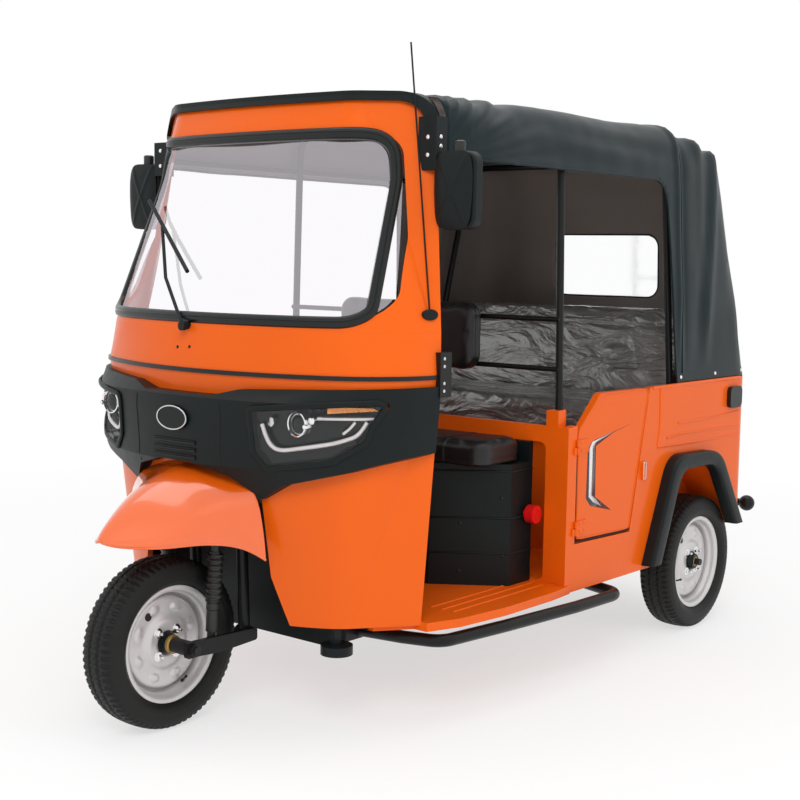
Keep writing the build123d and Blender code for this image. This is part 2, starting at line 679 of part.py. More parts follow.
# cross members, columns: station, top z
CROSS_MEMBERS = [
    (RAIL_FRONT + CROSS_WIDTH / 2, RAIL_HIGH),
    (PARTITION_STATION - 265.0, RAIL_HIGH),
    (PARTITION_STATION, RAIL_HIGH),
    (KICK_STATION - 40.0, RAIL_HIGH),
    (KICK_STATION + 150.0, DECK_Z),
    (TUB_REAR + 40.0, DECK_Z),
]
HEAD_TUBE_LOW = 608.0
HEAD_TUBE_HIGH = 800.0
HEAD_TUBE_RADIUS = 32.0
POST_WIDTH = 52.0
POST_REAR = RAIL_FRONT + CROSS_WIDTH
rail_side = side_view_block(
    [
        (RAIL_FRONT, RAIL_LOW),
        (RAIL_FRONT, RAIL_HIGH),
        (KICK_STATION, RAIL_HIGH),
        (KICK_STATION + KICK_RUN, DECK_Z),
        (RAIL_REAR, DECK_Z),
        (RAIL_REAR, RAIL_LOW + KICK_RISE - 10),
        (KICK_STATION + KICK_RUN + 30, RAIL_LOW + KICK_RISE - 10),
        (KICK_STATION + 20, RAIL_LOW),
    ],
    RAIL_X - RAIL_WIDTH / 2,
    RAIL_X + RAIL_WIDTH / 2,
)
with BuildPart() as chassis_frame:
    add(rail_side)
    mirror(about=Plane.YZ)
    for station, top_z in CROSS_MEMBERS:
        with BuildSketch(Plane.XY.offset(top_z - CROSS_DEPTH)):
            with Locations((0, back(station))):
                Rectangle(2 * RAIL_X, CROSS_WIDTH)
        extrude(amount=CROSS_DEPTH)
    # central post up to the head tube
    with BuildSketch(Plane.YZ.offset(-POST_WIDTH / 2)):
        with BuildLine():
            Polyline(
                (back(RAIL_FRONT), RAIL_LOW + 30),
                (back(RAIL_FRONT), 640),
                (on_steering_axis(640).Y, 640),
                (on_steering_axis(770).Y, 770),
                (back(POST_REAR), 700),
                (back(POST_REAR), RAIL_LOW + 30),
                close=True,
            )
        make_face()
    extrude(amount=POST_WIDTH)
    with BuildSketch(Plane(origin=on_steering_axis(HEAD_TUBE_LOW), z_dir=rake)):
        Circle(HEAD_TUBE_RADIUS)
    extrude(amount=(HEAD_TUBE_HIGH - HEAD_TUBE_LOW) / rake.Z)
    with BuildSketch(Plane(origin=on_steering_axis(HEAD_TUBE_LOW - 60), z_dir=rake)):
        Circle(COLUMN_RADIUS + PIN_CLEARANCE)
    extrude(amount=(HEAD_TUBE_HIGH - HEAD_TUBE_LOW + 120) / rake.Z, mode=Mode.SUBTRACT)
chassis_frame.part.label = "chassis_frame"
export_step(chassis_frame.part, "parts/chassis_frame.step")

# plan of the floor, right half from the front, columns: x, station. Its edge stands out past the posts as a ledge
FLOOR_FRONT = 356.0
FLOOR_PLAN = [
    (BODY_HALF_WIDTH - 157, FLOOR_FRONT),
    (BODY_HALF_WIDTH - 86.5, POST_STATION + SKIN_GAP),
    (BODY_HALF_WIDTH - 41, POST_STATION + SKIN_GAP),
    (BODY_HALF_WIDTH - 4, POST_STATION + 107),
    (BODY_HALF_WIDTH + 17, POST_STATION + 301),
    (BODY_HALF_WIDTH + 17, PARTITION_STATION - 90),
    (BODY_HALF_WIDTH + 7, PARTITION_BACK - 1),
    (BODY_HALF_WIDTH - PANEL_WALL, PARTITION_BACK - 1),
    (BODY_HALF_WIDTH - PANEL_WALL, KICK_STATION - 6),
]
FLOOR_THICK = FLOOR_TOP_Z - SILL_Z
DECK_HALF = BODY_HALF_WIDTH - 162.0
DECK_THICK = 20.0
ENGINE_STATION = PARTITION_STATION - 135.0
ENGINE_HOLE = 240.0
rear_deck = side_view_block(
    [
        (KICK_STATION - 12, SILL_Z),
        (KICK_STATION + KICK_RUN - 12, DECK_Z + SKIN_GAP),
        (TUB_REAR - PANEL_WALL, DECK_Z + SKIN_GAP),
        (TUB_REAR - PANEL_WALL, DECK_Z + DECK_THICK),
        (KICK_STATION + KICK_RUN - 24, DECK_Z + DECK_THICK),
        (KICK_STATION - 18, FLOOR_TOP_Z),
    ],
    -DECK_HALF,
    DECK_HALF,
)
with BuildPart() as floor_pan:
    with BuildSketch(Plane.XY.offset(SILL_Z)):
        with BuildLine():
            Polyline(*[(x, back(station)) for x, station in both_halves(FLOOR_PLAN)], close=True)
        make_face()
        with Locations((0, back(ENGINE_STATION))):
            Rectangle(400, ENGINE_HOLE, mode=Mode.SUBTRACT)
        with Locations((0, back((FLOOR_FRONT + POST_REAR) / 2 - 2))):
            Rectangle(POST_WIDTH + 1, POST_REAR - FLOOR_FRONT + 5, mode=Mode.SUBTRACT)
    extrude(amount=FLOOR_THICK)
    add(rear_deck)
floor_pan.part.label = "floor_pan"
export_step(floor_pan.part, "parts/floor_pan.step")

# ---------------------------------------------------------------- tub behind the driver
tub_middle = back((PARTITION_BACK + TUB_REAR) / 2)


def tub_plan(inset):
    """Plan of the tub, open at the front when drawn in by inset."""
    half = BODY_HALF_WIDTH - inset
    with BuildSketch(Plane.XY.offset(SILL_Z)) as plan:
        with BuildLine():
            Polyline(
                (-half, back(PARTITION_BACK)),
                (-half, back(TUB_REAR) - inset),
                (half, back(TUB_REAR) - inset),
                (half, back(PARTITION_BACK)),
                close=True,
            )
        make_face()
        fillet(plan.vertices().group_by(Axis.Y)[-1], TUB_CORNER - inset)
    return plan.sketch


# side view outlines, columns: station, z
REAR_ARCH = [
    (WHEELBASE - 350, SILL_Z - 20),
    (WHEELBASE - 234, 605.0),
    (WHEELBASE + 30, 605.0),
    (WHEELBASE + 232, 355.0),
    (WHEELBASE + 232, SILL_Z - 20),
]
DOORWAY = [
    (PARTITION_STATION + 50, TUB_TOP_Z + 100),
    (PARTITION_STATION + 50, 436.0),
    (PARTITION_STATION + 389, 428.0),
    (PARTITION_STATION + 517, TUB_TOP_Z + 100),
]
CORNER_POST_TOP = [
    (PARTITION_STATION, TUB_TOP_Z + 100),
    (PARTITION_STATION, PARTITION_TOP_Z + 3),
    (PARTITION_STATION + 51, PARTITION_TOP_Z + 3),
    (PARTITION_STATION + 51, TUB_TOP_Z + 100),
]
REAR_SKIRT_Z = 355.0
tub_outer = tub_plan(0)
tub_inner = tub_plan(PANEL_WALL)
doorways = side_view_block(DOORWAY)
corner_post_tops = side_view_block(CORNER_POST_TOP)
rear_arches = side_view_block(REAR_ARCH)
rear_split = TUB_REAR - TUB_CORNER
behind_split = side_view_block(
    [(rear_split, SILL_Z), (rear_split, TUB_TOP_Z), (rear_split + BEYOND, TUB_TOP_Z), (rear_split + BEYOND, SILL_Z)]
)
below_rear = side_view_block(
    [
        (WHEELBASE + 226, SILL_Z),
        (WHEELBASE + 226, REAR_SKIRT_Z),
        (WHEELBASE + BEYOND, REAR_SKIRT_Z),
        (WHEELBASE + BEYOND, SILL_Z),
    ]
)
with BuildPart() as tub_wall:
    extrude(tub_outer, amount=TUB_TOP_Z - SILL_Z)
    extrude(tub_inner, amount=TUB_TOP_Z - SILL_Z, mode=Mode.SUBTRACT)
    add(below_rear, mode=Mode.SUBTRACT)
with BuildPart() as side_panels:
    add(tub_wall.part)
    add([doorways, corner_post_tops, rear_arches, behind_split], mode=Mode.SUBTRACT)
side_panels.part.label = "side_panels"
export_step(side_panels.part, "parts/side_panels.step")

RAIL_HOLE = 76.0
with BuildPart() as rear_panel:
    add(tub_wall.part)
    add(behind_split, mode=Mode.INTERSECT)
    with BuildSketch(Plane.XZ.offset(-back(rear_split))):
        for side in (-1, 1):
            with Locations((side * RAIL_X, DECK_Z - RAIL_HOLE / 2 + 4)):
                Rectangle(RAIL_WIDTH + 2, RAIL_HOLE)
    extrude(amount=-2 * TUB_CORNER, mode=Mode.SUBTRACT)
rear_panel.part.label = "rear_panel"
export_step(rear_panel.part, "parts/rear_panel.step")

PILLAR_RADIUS = 12.0
PILLAR_STATION = PARTITION_STATION + 37.0
SOCKET_RADIUS = 22.0
with BuildPart() as partition:
    with BuildSketch(Plane.XZ.offset(-back(PARTITION_STATION))):
        with Locations((0, (FLOOR_TOP_Z + PARTITION_TOP_Z) / 2)):
            Rectangle(2 * BODY_HALF_WIDTH, PARTITION_TOP_Z - FLOOR_TOP_Z)
        with Locations((0, 535)):
            RectangleRounded(2 * (BODY_HALF_WIDTH - 82), 438, 24, mode=Mode.SUBTRACT)
    extrude(amount=-PARTITION_WALL)
    # sockets for the pillars
    for side in (-1, 1):
        with BuildSketch(Plane.XY.offset(PARTITION_TOP_Z - 45)):
            with Locations((side * PILLAR_X, back(PILLAR_STATION))):
                Circle(SOCKET_RADIUS)
                with Locations((0, (PARTITION_STATION - PILLAR_STATION) / 2)):
                    Rectangle(2 * SOCKET_RADIUS, PILLAR_STATION - PARTITION_STATION)
        extrude(amount=95)
        with BuildSketch(Plane.XY.offset(PARTITION_TOP_Z)):
            with Locations((side * PILLAR_X, back(PILLAR_STATION))):
                Circle(PILLAR_RADIUS + SKIN_GAP)
        extrude(amount=95, mode=Mode.SUBTRACT)
partition.part.label = "partition"
export_step(partition.part, "parts/partition.step")

HOUSE_SKIN = 18.0
house_inner_x = BODY_HALF_WIDTH - 160.0
house_outer_x = BODY_HALF_WIDTH - PANEL_WALL - SKIN_GAP
house_outside = side_view_block(
    [
        (WHEELBASE - 360, 350),
        (WHEELBASE - 250, 630),
        (WHEELBASE + 46, 630),
        (WHEELBASE + 244, 384),
        (WHEELBASE + 244, 350),
    ],
    house_inner_x,
    house_outer_x,
)
house_inside = side_view_block(REAR_ARCH, house_inner_x + HOUSE_SKIN, house_outer_x + HOUSE_SKIN)
with BuildPart() as wheel_houses:
    add(house_outside)
    add(house_inside, mode=Mode.SUBTRACT)
    mirror(about=Plane.YZ)
wheel_houses.part.label = "wheel_houses"
export_step(wheel_houses.part, "parts/wheel_houses.step")

# lips outside the body round the rear wheel arches
FLARE_REACH = 44.0
FLARE_CORNER = 60.0
flare_outside = side_view_block(
    [
        (WHEELBASE - 440, 300),
        (WHEELBASE - 288, 662),
        (WHEELBASE + 40, 652),
        (WHEELBASE + 236, 362),
        (WHEELBASE, 300),
    ],
    BODY_HALF_WIDTH,
    BODY_HALF_WIDTH + FLARE_REACH,
)
flare_inside = side_view_block(
    [
        (WHEELBASE - 372, 300),
        (WHEELBASE - 242, 606),
        (WHEELBASE + 6, 604),
        (WHEELBASE + 176, 362),
        (WHEELBASE + 176, 200),
        (WHEELBASE - 372, 200),
    ]
)
with BuildPart() as wheel_flares:
    add(flare_outside)
    fillet(wheel_flares.edges().filter_by(Axis.X).group_by(Axis.Z)[-1], FLARE_CORNER)
    add(flare_inside, mode=Mode.SUBTRACT)
    mirror(about=Plane.YZ)
wheel_flares.part.label = "wheel_flares"
export_step(wheel_flares.part, "parts/wheel_flares.step")

# ---------------------------------------------------------------- doors
DOOR_OUTLINE = [
    # station, z
    (PARTITION_STATION + 61, 447.0),
    (PARTITION_STATION + 56, 785.0),
    (PARTITION_STATION + 183, TUB_TOP_Z + 2),
    (PARTITION_STATION + 493, TUB_TOP_Z),
    (PARTITION_STATION + 383, 438.0),
]
DOOR_SHELL = PANEL_WALL - 2
HINGE_X = BODY_HALF_WIDTH + 6.0
HINGE_STATION = PARTITION_STATION + 48.0
HINGE_HEIGHTS = (486.0, 742.0)
KNUCKLE_RADIUS = 6.0
HINGE_PIN = 3.0
KNUCKLE = 20.0
LEAF_WIDTH = 64.0
LEAF_HEIGHT = 42.0
hinge_line = (HINGE_X, back(HINGE_STATION))
with BuildPart() as door_left:
    with BuildSketch(Plane.YZ.offset(BODY_HALF_WIDTH - PANEL_WALL)) as door_face:
        with BuildLine():
            Polyline(*[(back(station), z) for station, z in DOOR_OUTLINE], close=True)
        make_face()
        fillet(door_face.vertices().group_by(Axis.Z)[-1], 30)
    extrude(amount=DOOR_SHELL)
    for z in HINGE_HEIGHTS:
        with BuildSketch(Plane.YZ.offset(BODY_HALF_WIDTH - PANEL_WALL + DOOR_SHELL)):
            with Locations((back(HINGE_STATION + LEAF_WIDTH / 2 + 4), z)):
                Rectangle(LEAF_WIDTH, LEAF_HEIGHT)
        extrude(amount=4)
        with BuildSketch(Plane.XY.offset(z + 1)):
            with Locations(hinge_line):
                Circle(KNUCKLE_RADIUS)
        extrude(amount=KNUCKLE)
        with BuildSketch(Plane.XY.offset(z - 30)):
            with Locations(hinge_line):
                Circle(HINGE_PIN + PIN_CLEARANCE)
        extrude(amount=60, mode=Mode.SUBTRACT)
        # room for the fixed half of the hinge
        with BuildSketch(Plane.YZ.offset(BODY_HALF_WIDTH - 10)):
            with Locations((back(HINGE_STATION - 2), z - 10)):
                Rectangle(21, 24)
        extrude(amount=30, mode=Mode.SUBTRACT)
door_left.part.label = "door_left"
export_step(door_left.part, "parts/door_left.step")

with BuildPart() as door_right:
    add(mirror(door_left.part, about=Plane.YZ, mode=Mode.PRIVATE))
door_right.part.label = "door_right"
export_step(door_right.part, "parts/door_right.step")

FIXED_LEAF = 18.0
with BuildPart() as door_fittings:
    for z in HINGE_HEIGHTS:
        with BuildSketch(Plane.XY.offset(z - KNUCKLE - 2)):
            with Locations(hinge_line):
                Circle(HINGE_PIN)
        extrude(amount=2 * KNUCKLE + 2)
        with BuildSketch(Plane.XY.offset(z - KNUCKLE - 2)):
            with Locations(hinge_line):
                Circle(KNUCKLE_RADIUS)
            with Locations((HINGE_X - KNUCKLE_RADIUS / 2, back(HINGE_STATION - FIXED_LEAF / 2))):
                Rectangle(KNUCKLE_RADIUS, FIXED_LEAF)
        extrude(amount=KNUCKLE + 1)
    # latch striker on the rear post
    with BuildSketch(Plane.YZ.offset(BODY_HALF_WIDTH)):
        with Locations((back(PARTITION_STATION + 460), 625)):
            RectangleRounded(20, 62, 5)
    extrude(amount=9)
    mirror(about=Plane.YZ)
door_fittings.part.label = "door_fittings"
export_step(door_fittings.part, "parts/door_fittings.step")

# ---------------------------------------------------------------- seats
SEAT_BOX_TOP = 690.0
SEAT_BOX_WALL = 20.0
# plan, right half from the partition forwards, columns: x, distance in front of the partition
SEAT_BOX_PLAN = [
    (BODY_HALF_WIDTH - 130, 0.0),
    (BODY_HALF_WIDTH - 130, 115.0),
    (298.0, 262.0),
]
SEAT_BOX_HOLLOW = [
    (BODY_HALF_WIDTH - 150, SEAT_BOX_WALL),
    (BODY_HALF_WIDTH - 150, 105.0),
    (290.0, 242.0),
]
BACKBOARD_HIGH = 753.0
with BuildPart() as seat_box:
    with BuildSketch(Plane.XY.offset(FLOOR_TOP_Z)):
        with BuildLine():
            Polyline(*[(x, back(PARTITION_STATION - out)) for x, out in both_halves(SEAT_BOX_PLAN)], close=True)
        make_face()
    extrude(amount=SEAT_BOX_TOP - FLOOR_TOP_Z)
    with BuildSketch(Plane.XY.offset(FLOOR_TOP_Z)):
        with BuildLine():
            Polyline(*[(x, back(PARTITION_STATION - out)) for x, out in both_halves(SEAT_BOX_HOLLOW)], close=True)
        make_face()
    extrude(amount=SEAT_BOX_TOP - FLOOR_TOP_Z - SEAT_BOX_WALL, mode=Mode.SUBTRACT)
    with BuildSketch(Plane.XZ.offset(-back(PARTITION_STATION - SEAT_BOX_WALL))):
        with Locations((0, (SEAT_BOX_TOP + BACKBOARD_HIGH) / 2)):
            Rectangle(2 * (BODY_HALF_WIDTH - 130), BACKBOARD_HIGH - SEAT_BOX_TOP)
    extrude(amount=-SEAT_BOX_WALL)
seat_box.part.label = "seat_box"
export_step(seat_box.part, "parts/seat_box.step")

DRIVER_SEAT_DEPTH = 256.0
with BuildPart() as driver_cushion:
    with BuildSketch(Plane.XY.offset(SEAT_BOX_TOP + SKIN_GAP)):
        with Locations((0, back(PARTITION_STATION - SEAT_BOX_WALL - SKIN_GAP - DRIVER_SEAT_DEPTH / 2))):
            RectangleRounded(2 * (BODY_HALF_WIDTH - 125), DRIVER_SEAT_DEPTH, 60)
    extrude(amount=76)
    fillet(driver_cushion.faces().sort_by(Axis.Z)[-1].edges(), 22)
driver_cushion.part.label = "driver_cushion"
export_step(driver_cushion.part, "parts/driver_cushion.step")

GUARD_RAIL_HEIGHTS = (980.0, 1135.0)
GUARD_RAIL_RADIUS = 8.0
GUARD_RAIL_STATION = PARTITION_STATION + 27.0
BACKREST_THICK = 66.0
backrest_rear = GUARD_RAIL_STATION - GUARD_RAIL_RADIUS - SKIN_GAP
with BuildPart() as driver_backrest:
    with BuildSketch(Plane.XZ.offset(-back(backrest_rear))):
        with Locations((0, 1072)):
            RectangleRounded(586, 236, 50)
    extrude(amount=BACKREST_THICK)
    fillet(driver_backrest.faces().sort_by(Axis.Y)[0].edges(), 20)
driver_backrest.part.label = "driver_backrest"
export_step(driver_backrest.part, "parts/driver_backrest.step")

BENCH_Z = 700.0
BENCH_SHEET = 20.0
with BuildPart() as rear_seat_base:
    with BuildSketch(Plane.YZ.offset(-DECK_HALF - 2)):
        with BuildLine():
            Polyline(
                (back(WHEELBASE - 500), FLOOR_TOP_Z),
                (back(WHEELBASE - 500), BENCH_Z),
                (back(WHEELBASE + 40), BENCH_Z),
                (back(WHEELBASE + 40), BENCH_Z - BENCH_SHEET),
                (back(WHEELBASE - 500 + BENCH_SHEET), BENCH_Z - BENCH_SHEET),
                (back(WHEELBASE - 500 + BENCH_SHEET), FLOOR_TOP_Z),
                close=True,
            )
        make_face()
    extrude(amount=2 * DECK_HALF + 4)
    # legs down to the deck at the rear
    with BuildSketch(Plane.XY.offset(DECK_Z + DECK_THICK)):
        for side in (-1, 1):
            with Locations((side * (DECK_HALF - 12), back(WHEELBASE + 20))):
                Rectangle(24, 40)
    extrude(amount=BENCH_Z - BENCH_SHEET - DECK_Z - DECK_THICK)
rear_seat_base.part.label = "rear_seat_base"
export_step(rear_seat_base.part, "parts/rear_seat_base.step")

with BuildPart() as rear_seat_cushion:
    with BuildSketch(Plane.XY.offset(BENCH_Z + SKIN_GAP)):
        with Locations((0, back(WHEELBASE - 328))):
            RectangleRounded(2 * (BODY_HALF_WIDTH - 55), 446, 40)
    extrude(amount=146)
    fillet(rear_seat_cushion.faces().sort_by(Axis.Z)[-1].edges(), 30)
rear_seat_cushion.part.label = "rear_seat_cushion"
export_step(rear_seat_cushion.part, "parts/rear_seat_cushion.step")

BACK_HALF = BODY_HALF_WIDTH - 84.0
with BuildPart() as rear_seat_back:
    with BuildSketch(Plane.YZ.offset(-BACK_HALF)) as back_face:
        with BuildLine():
            Polyline(
                (back(WHEELBASE - 100), BENCH_Z + SKIN_GAP),
                (back(WHEELBASE - 100), 860),
                (back(WHEELBASE - 10), 1170),
                (back(WHEELBASE + 80), 1150),
                (back(WHEELBASE + 16), BENCH_Z + SKIN_GAP),
                close=True,
            )
        make_face()
        fillet(back_face.vertices().group_by(Axis.Z)[-1], 25)
    extrude(amount=2 * BACK_HALF)
rear_seat_back.part.label = "rear_seat_back"
export_step(rear_seat_back.part, "parts/rear_seat_back.step")

# ---------------------------------------------------------------- canopy and its frame
CANOPY_FRONT = HEADER_STATION + 3.0
CANOPY_SKIN = 10.0
CANOPY_FOOT_Z = TUB_TOP_Z + SKIN_GAP
CANOPY_TOP_Z = HEADER_Z + 60.0
SHOULDER_STATION = 900.0
FRONT_RUN_ON = 3.0  # the inner form runs this many skins past the front, so that the front is open
# side view, columns: station, z, how many skins the inner face lies forward and down of the outer
CANOPY_SIDE = [
    (CANOPY_FRONT, TUB_TOP_Z, FRONT_RUN_ON, 0.0),
    (CANOPY_FRONT, CANOPY_TOP_Z - 52, FRONT_RUN_ON, 1.0),
    (CANOPY_FRONT + 246, CANOPY_TOP_Z - 30, 0.0, 1.0),
    (PARTITION_STATION + 15, CANOPY_TOP_Z - 10, 0.0, 1.0),
    (WHEELBASE - 210, CANOPY_TOP_Z - 16, 0.0, 1.0),
    (WHEELBASE - 76, CANOPY_TOP_Z - 46, 0.3, 1.0),
    (WHEELBASE + 115, CANOPY_TOP_Z - 94, 0.4, 1.0),
    (WHEELBASE + 240, CANOPY_TOP_Z - 146, 0.8, 0.6),
    (WHEELBASE + 308, 1560.0, 1.0, 0.0),
    (TUB_REAR + 8, 1320.0, 1.0, 0.0),
    (TUB_REAR + 8, TUB_TOP_Z, 1.0, 0.0),
]
# front view, right half from the foot up, columns: x, z, how many skins the inner face lies inward and down
CANOPY_ARCH = [
    (BODY_HALF_WIDTH + 2, TUB_TOP_Z, 1.0, 0.0),
    (BODY_HALF_WIDTH - 26, 1600.0, 1.0, 0.0),
    (BODY_HALF_WIDTH - 44, CANOPY_TOP_Z - 103, 1.0, 0.5),
    (BODY_HALF_WIDTH - 100, CANOPY_TOP_Z - 36, 0.6, 1.0),
    (400.0, CANOPY_TOP_Z - 12, 0.0, 1.0),
    (0.0, CANOPY_TOP_Z, 0.0, 1.0),
]
# plan at two heights, columns: z, half width at the front, at the shoulder and at the rear, rear station, rear corner
CANOPY_PLANS = [
    (TUB_TOP_Z, BODY_HALF_WIDTH - 58, BODY_HALF_WIDTH + 6, BODY_HALF_WIDTH + 6, TUB_REAR + 8, 95.0),
    (CANOPY_TOP_Z, BODY_HALF_WIDTH - 58, BODY_HALF_WIDTH + 10, BODY_HALF_WIDTH - 85, TUB_REAR - 30, 270.0),
]


def canopy_plan(row, inset):
    """One plan outline of the canopy, drawn in by inset."""
    z, front_half, shoulder_half, rear_half, rear_station, corner = row
    run_on = FRONT_RUN_ON * inset
    taper = (shoulder_half - front_half) / (SHOULDER_STATION - CANOPY_FRONT)
    corners = [
        (front_half - inset - run_on * taper, CANOPY_FRONT - run_on),
        (shoulder_half - inset, SHOULDER_STATION),
        (rear_half - inset, rear_station - inset),
    ]
    with BuildSketch(Plane.XY.offset(z)) as outline:
        with BuildLine():
            Polyline(*[(x, back(station)) for x, station in both_halves(corners)], close=True)
        make_face()
        fillet(outline.vertices().group_by(Axis.Y)[-1], corner - inset)
    return outline.sketch


def canopy_form(inset):
    """The canopy's outer form drawn in by inset, where its side view, front view and plans all agree."""
    side = side_view_block([(station - inset * fore, z - inset * down) for station, z, fore, down in CANOPY_SIDE])
    half = [(x - inset * inward, z - inset * down) for x, z, inward, down in CANOPY_ARCH]
    arch = front_view_block(half + [(-x, z) for x, z in reversed(half[:-1])], 0, 0, WHEELBASE + BEYOND)
    with BuildPart() as form:
        loft([canopy_plan(row, inset) for row in CANOPY_PLANS], ruled=True)
        add(side, mode=Mode.INTERSECT)
        add(arch, mode=Mode.INTERSECT)
    return form.part


canopy_opening = side_view_block(
    [
        (0, TUB_TOP_Z),
        (0, ROOF_SIDE_Z),
        (WHEELBASE - 288, ROOF_SIDE_Z),
        (WHEELBASE - 232, TUB_TOP_Z),
    ]
)
canopy_foot = side_view_block(
    [(0, TUB_TOP_Z), (0, CANOPY_FOOT_Z), (WHEELBASE + BEYOND, CANOPY_FOOT_Z), (WHEELBASE + BEYOND, TUB_TOP_Z)]
)
WINDOW_HALF = 236.0
window_block = front_view_block(both_halves([(WINDOW_HALF, 1180.0), (WINDOW_HALF, 1417.0)]), 40, WHEELBASE, WHEELBASE + 500)
canopy_outer = canopy_form(0)
canopy_inner = canopy_form(CANOPY_SKIN)
with BuildPart() as canopy:
    add(canopy_outer)
    add(canopy_inner, mode=Mode.SUBTRACT)
    add([canopy_opening, canopy_foot, window_block], mode=Mode.SUBTRACT)
canopy.part.label = "canopy"
export_step(canopy.part, "parts/canopy.step")

window_outer = canopy_form(3)
window_inner = canopy_form(6)
with BuildPart() as rear_window:
    add(window_outer)
    add(window_inner, mode=Mode.SUBTRACT)
    add(window_block, mode=Mode.INTERSECT)
rear_window.part.label = "rear_window"
export_step(rear_window.part, "parts/rear_window.step")

RAIL_TUBE = 10.0
ROOF_RAIL_X = BODY_HALF_WIDTH - 82.0
ROOF_RAIL_Z = ROOF_SIDE_Z + 24.0
BOW_CORNER = 90.0
BOWS = [
    # foot station, foot z, foot half spacing, top station, top z, top half spacing
    (PILLAR_STATION, PARTITION_TOP_Z, PILLAR_X, PILLAR_STATION, HEADER_Z - 2, ROOF_RAIL_X),
    (WHEELBASE - 212, 800.0, BODY_HALF_WIDTH - 36.3, WHEELBASE - 208, HEADER_Z - 6, ROOF_RAIL_X - 15),
    (WHEELBASE - 50, 800.0, BODY_HALF_WIDTH - 36.3, WHEELBASE + 100, HEADER_Z - 78, ROOF_RAIL_X - 23),
]
with BuildPart() as roof_frame:
    for foot_station, foot_z, foot_half, top_station, top_z, top_half in BOWS:
        bow_points = [
            (-foot_half, back(foot_station), foot_z),
            (-top_half, back(top_station), top_z),
            (top_half, back(top_station), top_z),
            (foot_half, back(foot_station), foot_z),
        ]
        with BuildLine() as bow_path:
            FilletPolyline(*bow_points, radius=BOW_CORNER)
        with BuildSketch(Plane(origin=bow_path.line @ 0, z_dir=bow_path.line % 0)):
            Circle(PILLAR_RADIUS)
        sweep(path=bow_path.line)
    for side in (-1, 1):
        with BuildSketch(Plane.XZ.offset(-back(HEADER_STATION - 18))):
            with Locations((side * ROOF_RAIL_X, ROOF_RAIL_Z)):
                Circle(RAIL_TUBE)
        extrude(amount=HEADER_STATION - 18 - (WHEELBASE - 210))
        rail_end = Vector(side * ROOF_RAIL_X, back(WHEELBASE - 210), ROOF_RAIL_Z)
        last_bow = Vector(side * (ROOF_RAIL_X - 18), back(WHEELBASE + 88), ROOF_RAIL_Z)
        with BuildSketch(Plane(origin=rail_end, z_dir=last_bow - rail_end)):
            Circle(RAIL_TUBE)
        extrude(amount=(last_bow - rail_end).length)
    # guard rails behind the driver
    for z in GUARD_RAIL_HEIGHTS:
        with BuildSketch(Plane.YZ.offset(-PILLAR_X)):
            with Locations((back(GUARD_RAIL_STATION), z)):
                Circle(GUARD_RAIL_RADIUS)
        extrude(amount=2 * PILLAR_X)
    add([upper_cowl.part, partition.part], mode=Mode.SUBTRACT)
roof_frame.part.label = "roof_frame"
export_step(roof_frame.part, "parts/roof_frame.step")

# ---------------------------------------------------------------- fittings
STEP_Z = 250.0
STEP_RADIUS = 18.5
STEP_BEND = 60.0
STEP_REACH = BODY_HALF_WIDTH + 45.0
# plan from the front rail fixing round to the rear one, columns: x, station
STEP_PATH = [
    (RAIL_X + 10, POST_STATION - 10),
    (STEP_REACH - 185, POST_STATION + 15),
    (STEP_REACH - 73, POST_STATION + 50),
    (STEP_REACH - 39, POST_STATION + 320),
    (STEP_REACH - 8, PARTITION_STATION + 10),
    (STEP_REACH, PARTITION_STATION + 255),
    (RAIL_X + 10, PARTITION_STATION + 365),
]
with BuildPart() as side_steps:
    with BuildLine() as step_path:
        FilletPolyline(*[(x, back(station), STEP_Z) for x, station in STEP_PATH], radius=STEP_BEND)
    with BuildSketch(Plane(origin=step_path.line @ 0, z_dir=step_path.line % 0)):
        Circle(STEP_RADIUS)
    sweep(path=step_path.line)
    mirror(about=Plane.YZ)
    add(chassis_frame.part, mode=Mode.SUBTRACT)
side_steps.part.label = "side_steps"
export_step(side_steps.part, "parts/side_steps.step")

BUMPER_HALF = BODY_HALF_WIDTH - 30.0
BUMPER_Z = 402.0
BUMPER_TUBE = 14.0
BUFFER_BALL = 30.0
bumper_y = back(WHEELBASE + REAR_OVERHANG - BUFFER_BALL)
with BuildPart() as rear_bumper:
    with BuildSketch(Plane.YZ.offset(-BUMPER_HALF)):
        with Locations((bumper_y, BUMPER_Z)):
            Circle(BUMPER_TUBE)
    extrude(amount=2 * BUMPER_HALF)
    for side in (-1, 1):
        with BuildSketch(Plane.XY.offset(BUMPER_Z)):
            with Locations((side * BUMPER_HALF, bumper_y)):
                Circle(BUFFER_BALL)
                with Locations((0, -BUFFER_BALL)):
                    Rectangle(2 * BUFFER_BALL, 2 * BUFFER_BALL, mode=Mode.SUBTRACT)
        revolve(axis=Axis((side * BUMPER_HALF, bumper_y, BUMPER_Z), (1, 0, 0)))
rear_bumper.part.label = "rear_bumper"
export_step(rear_bumper.part, "parts/rear_bumper.step")

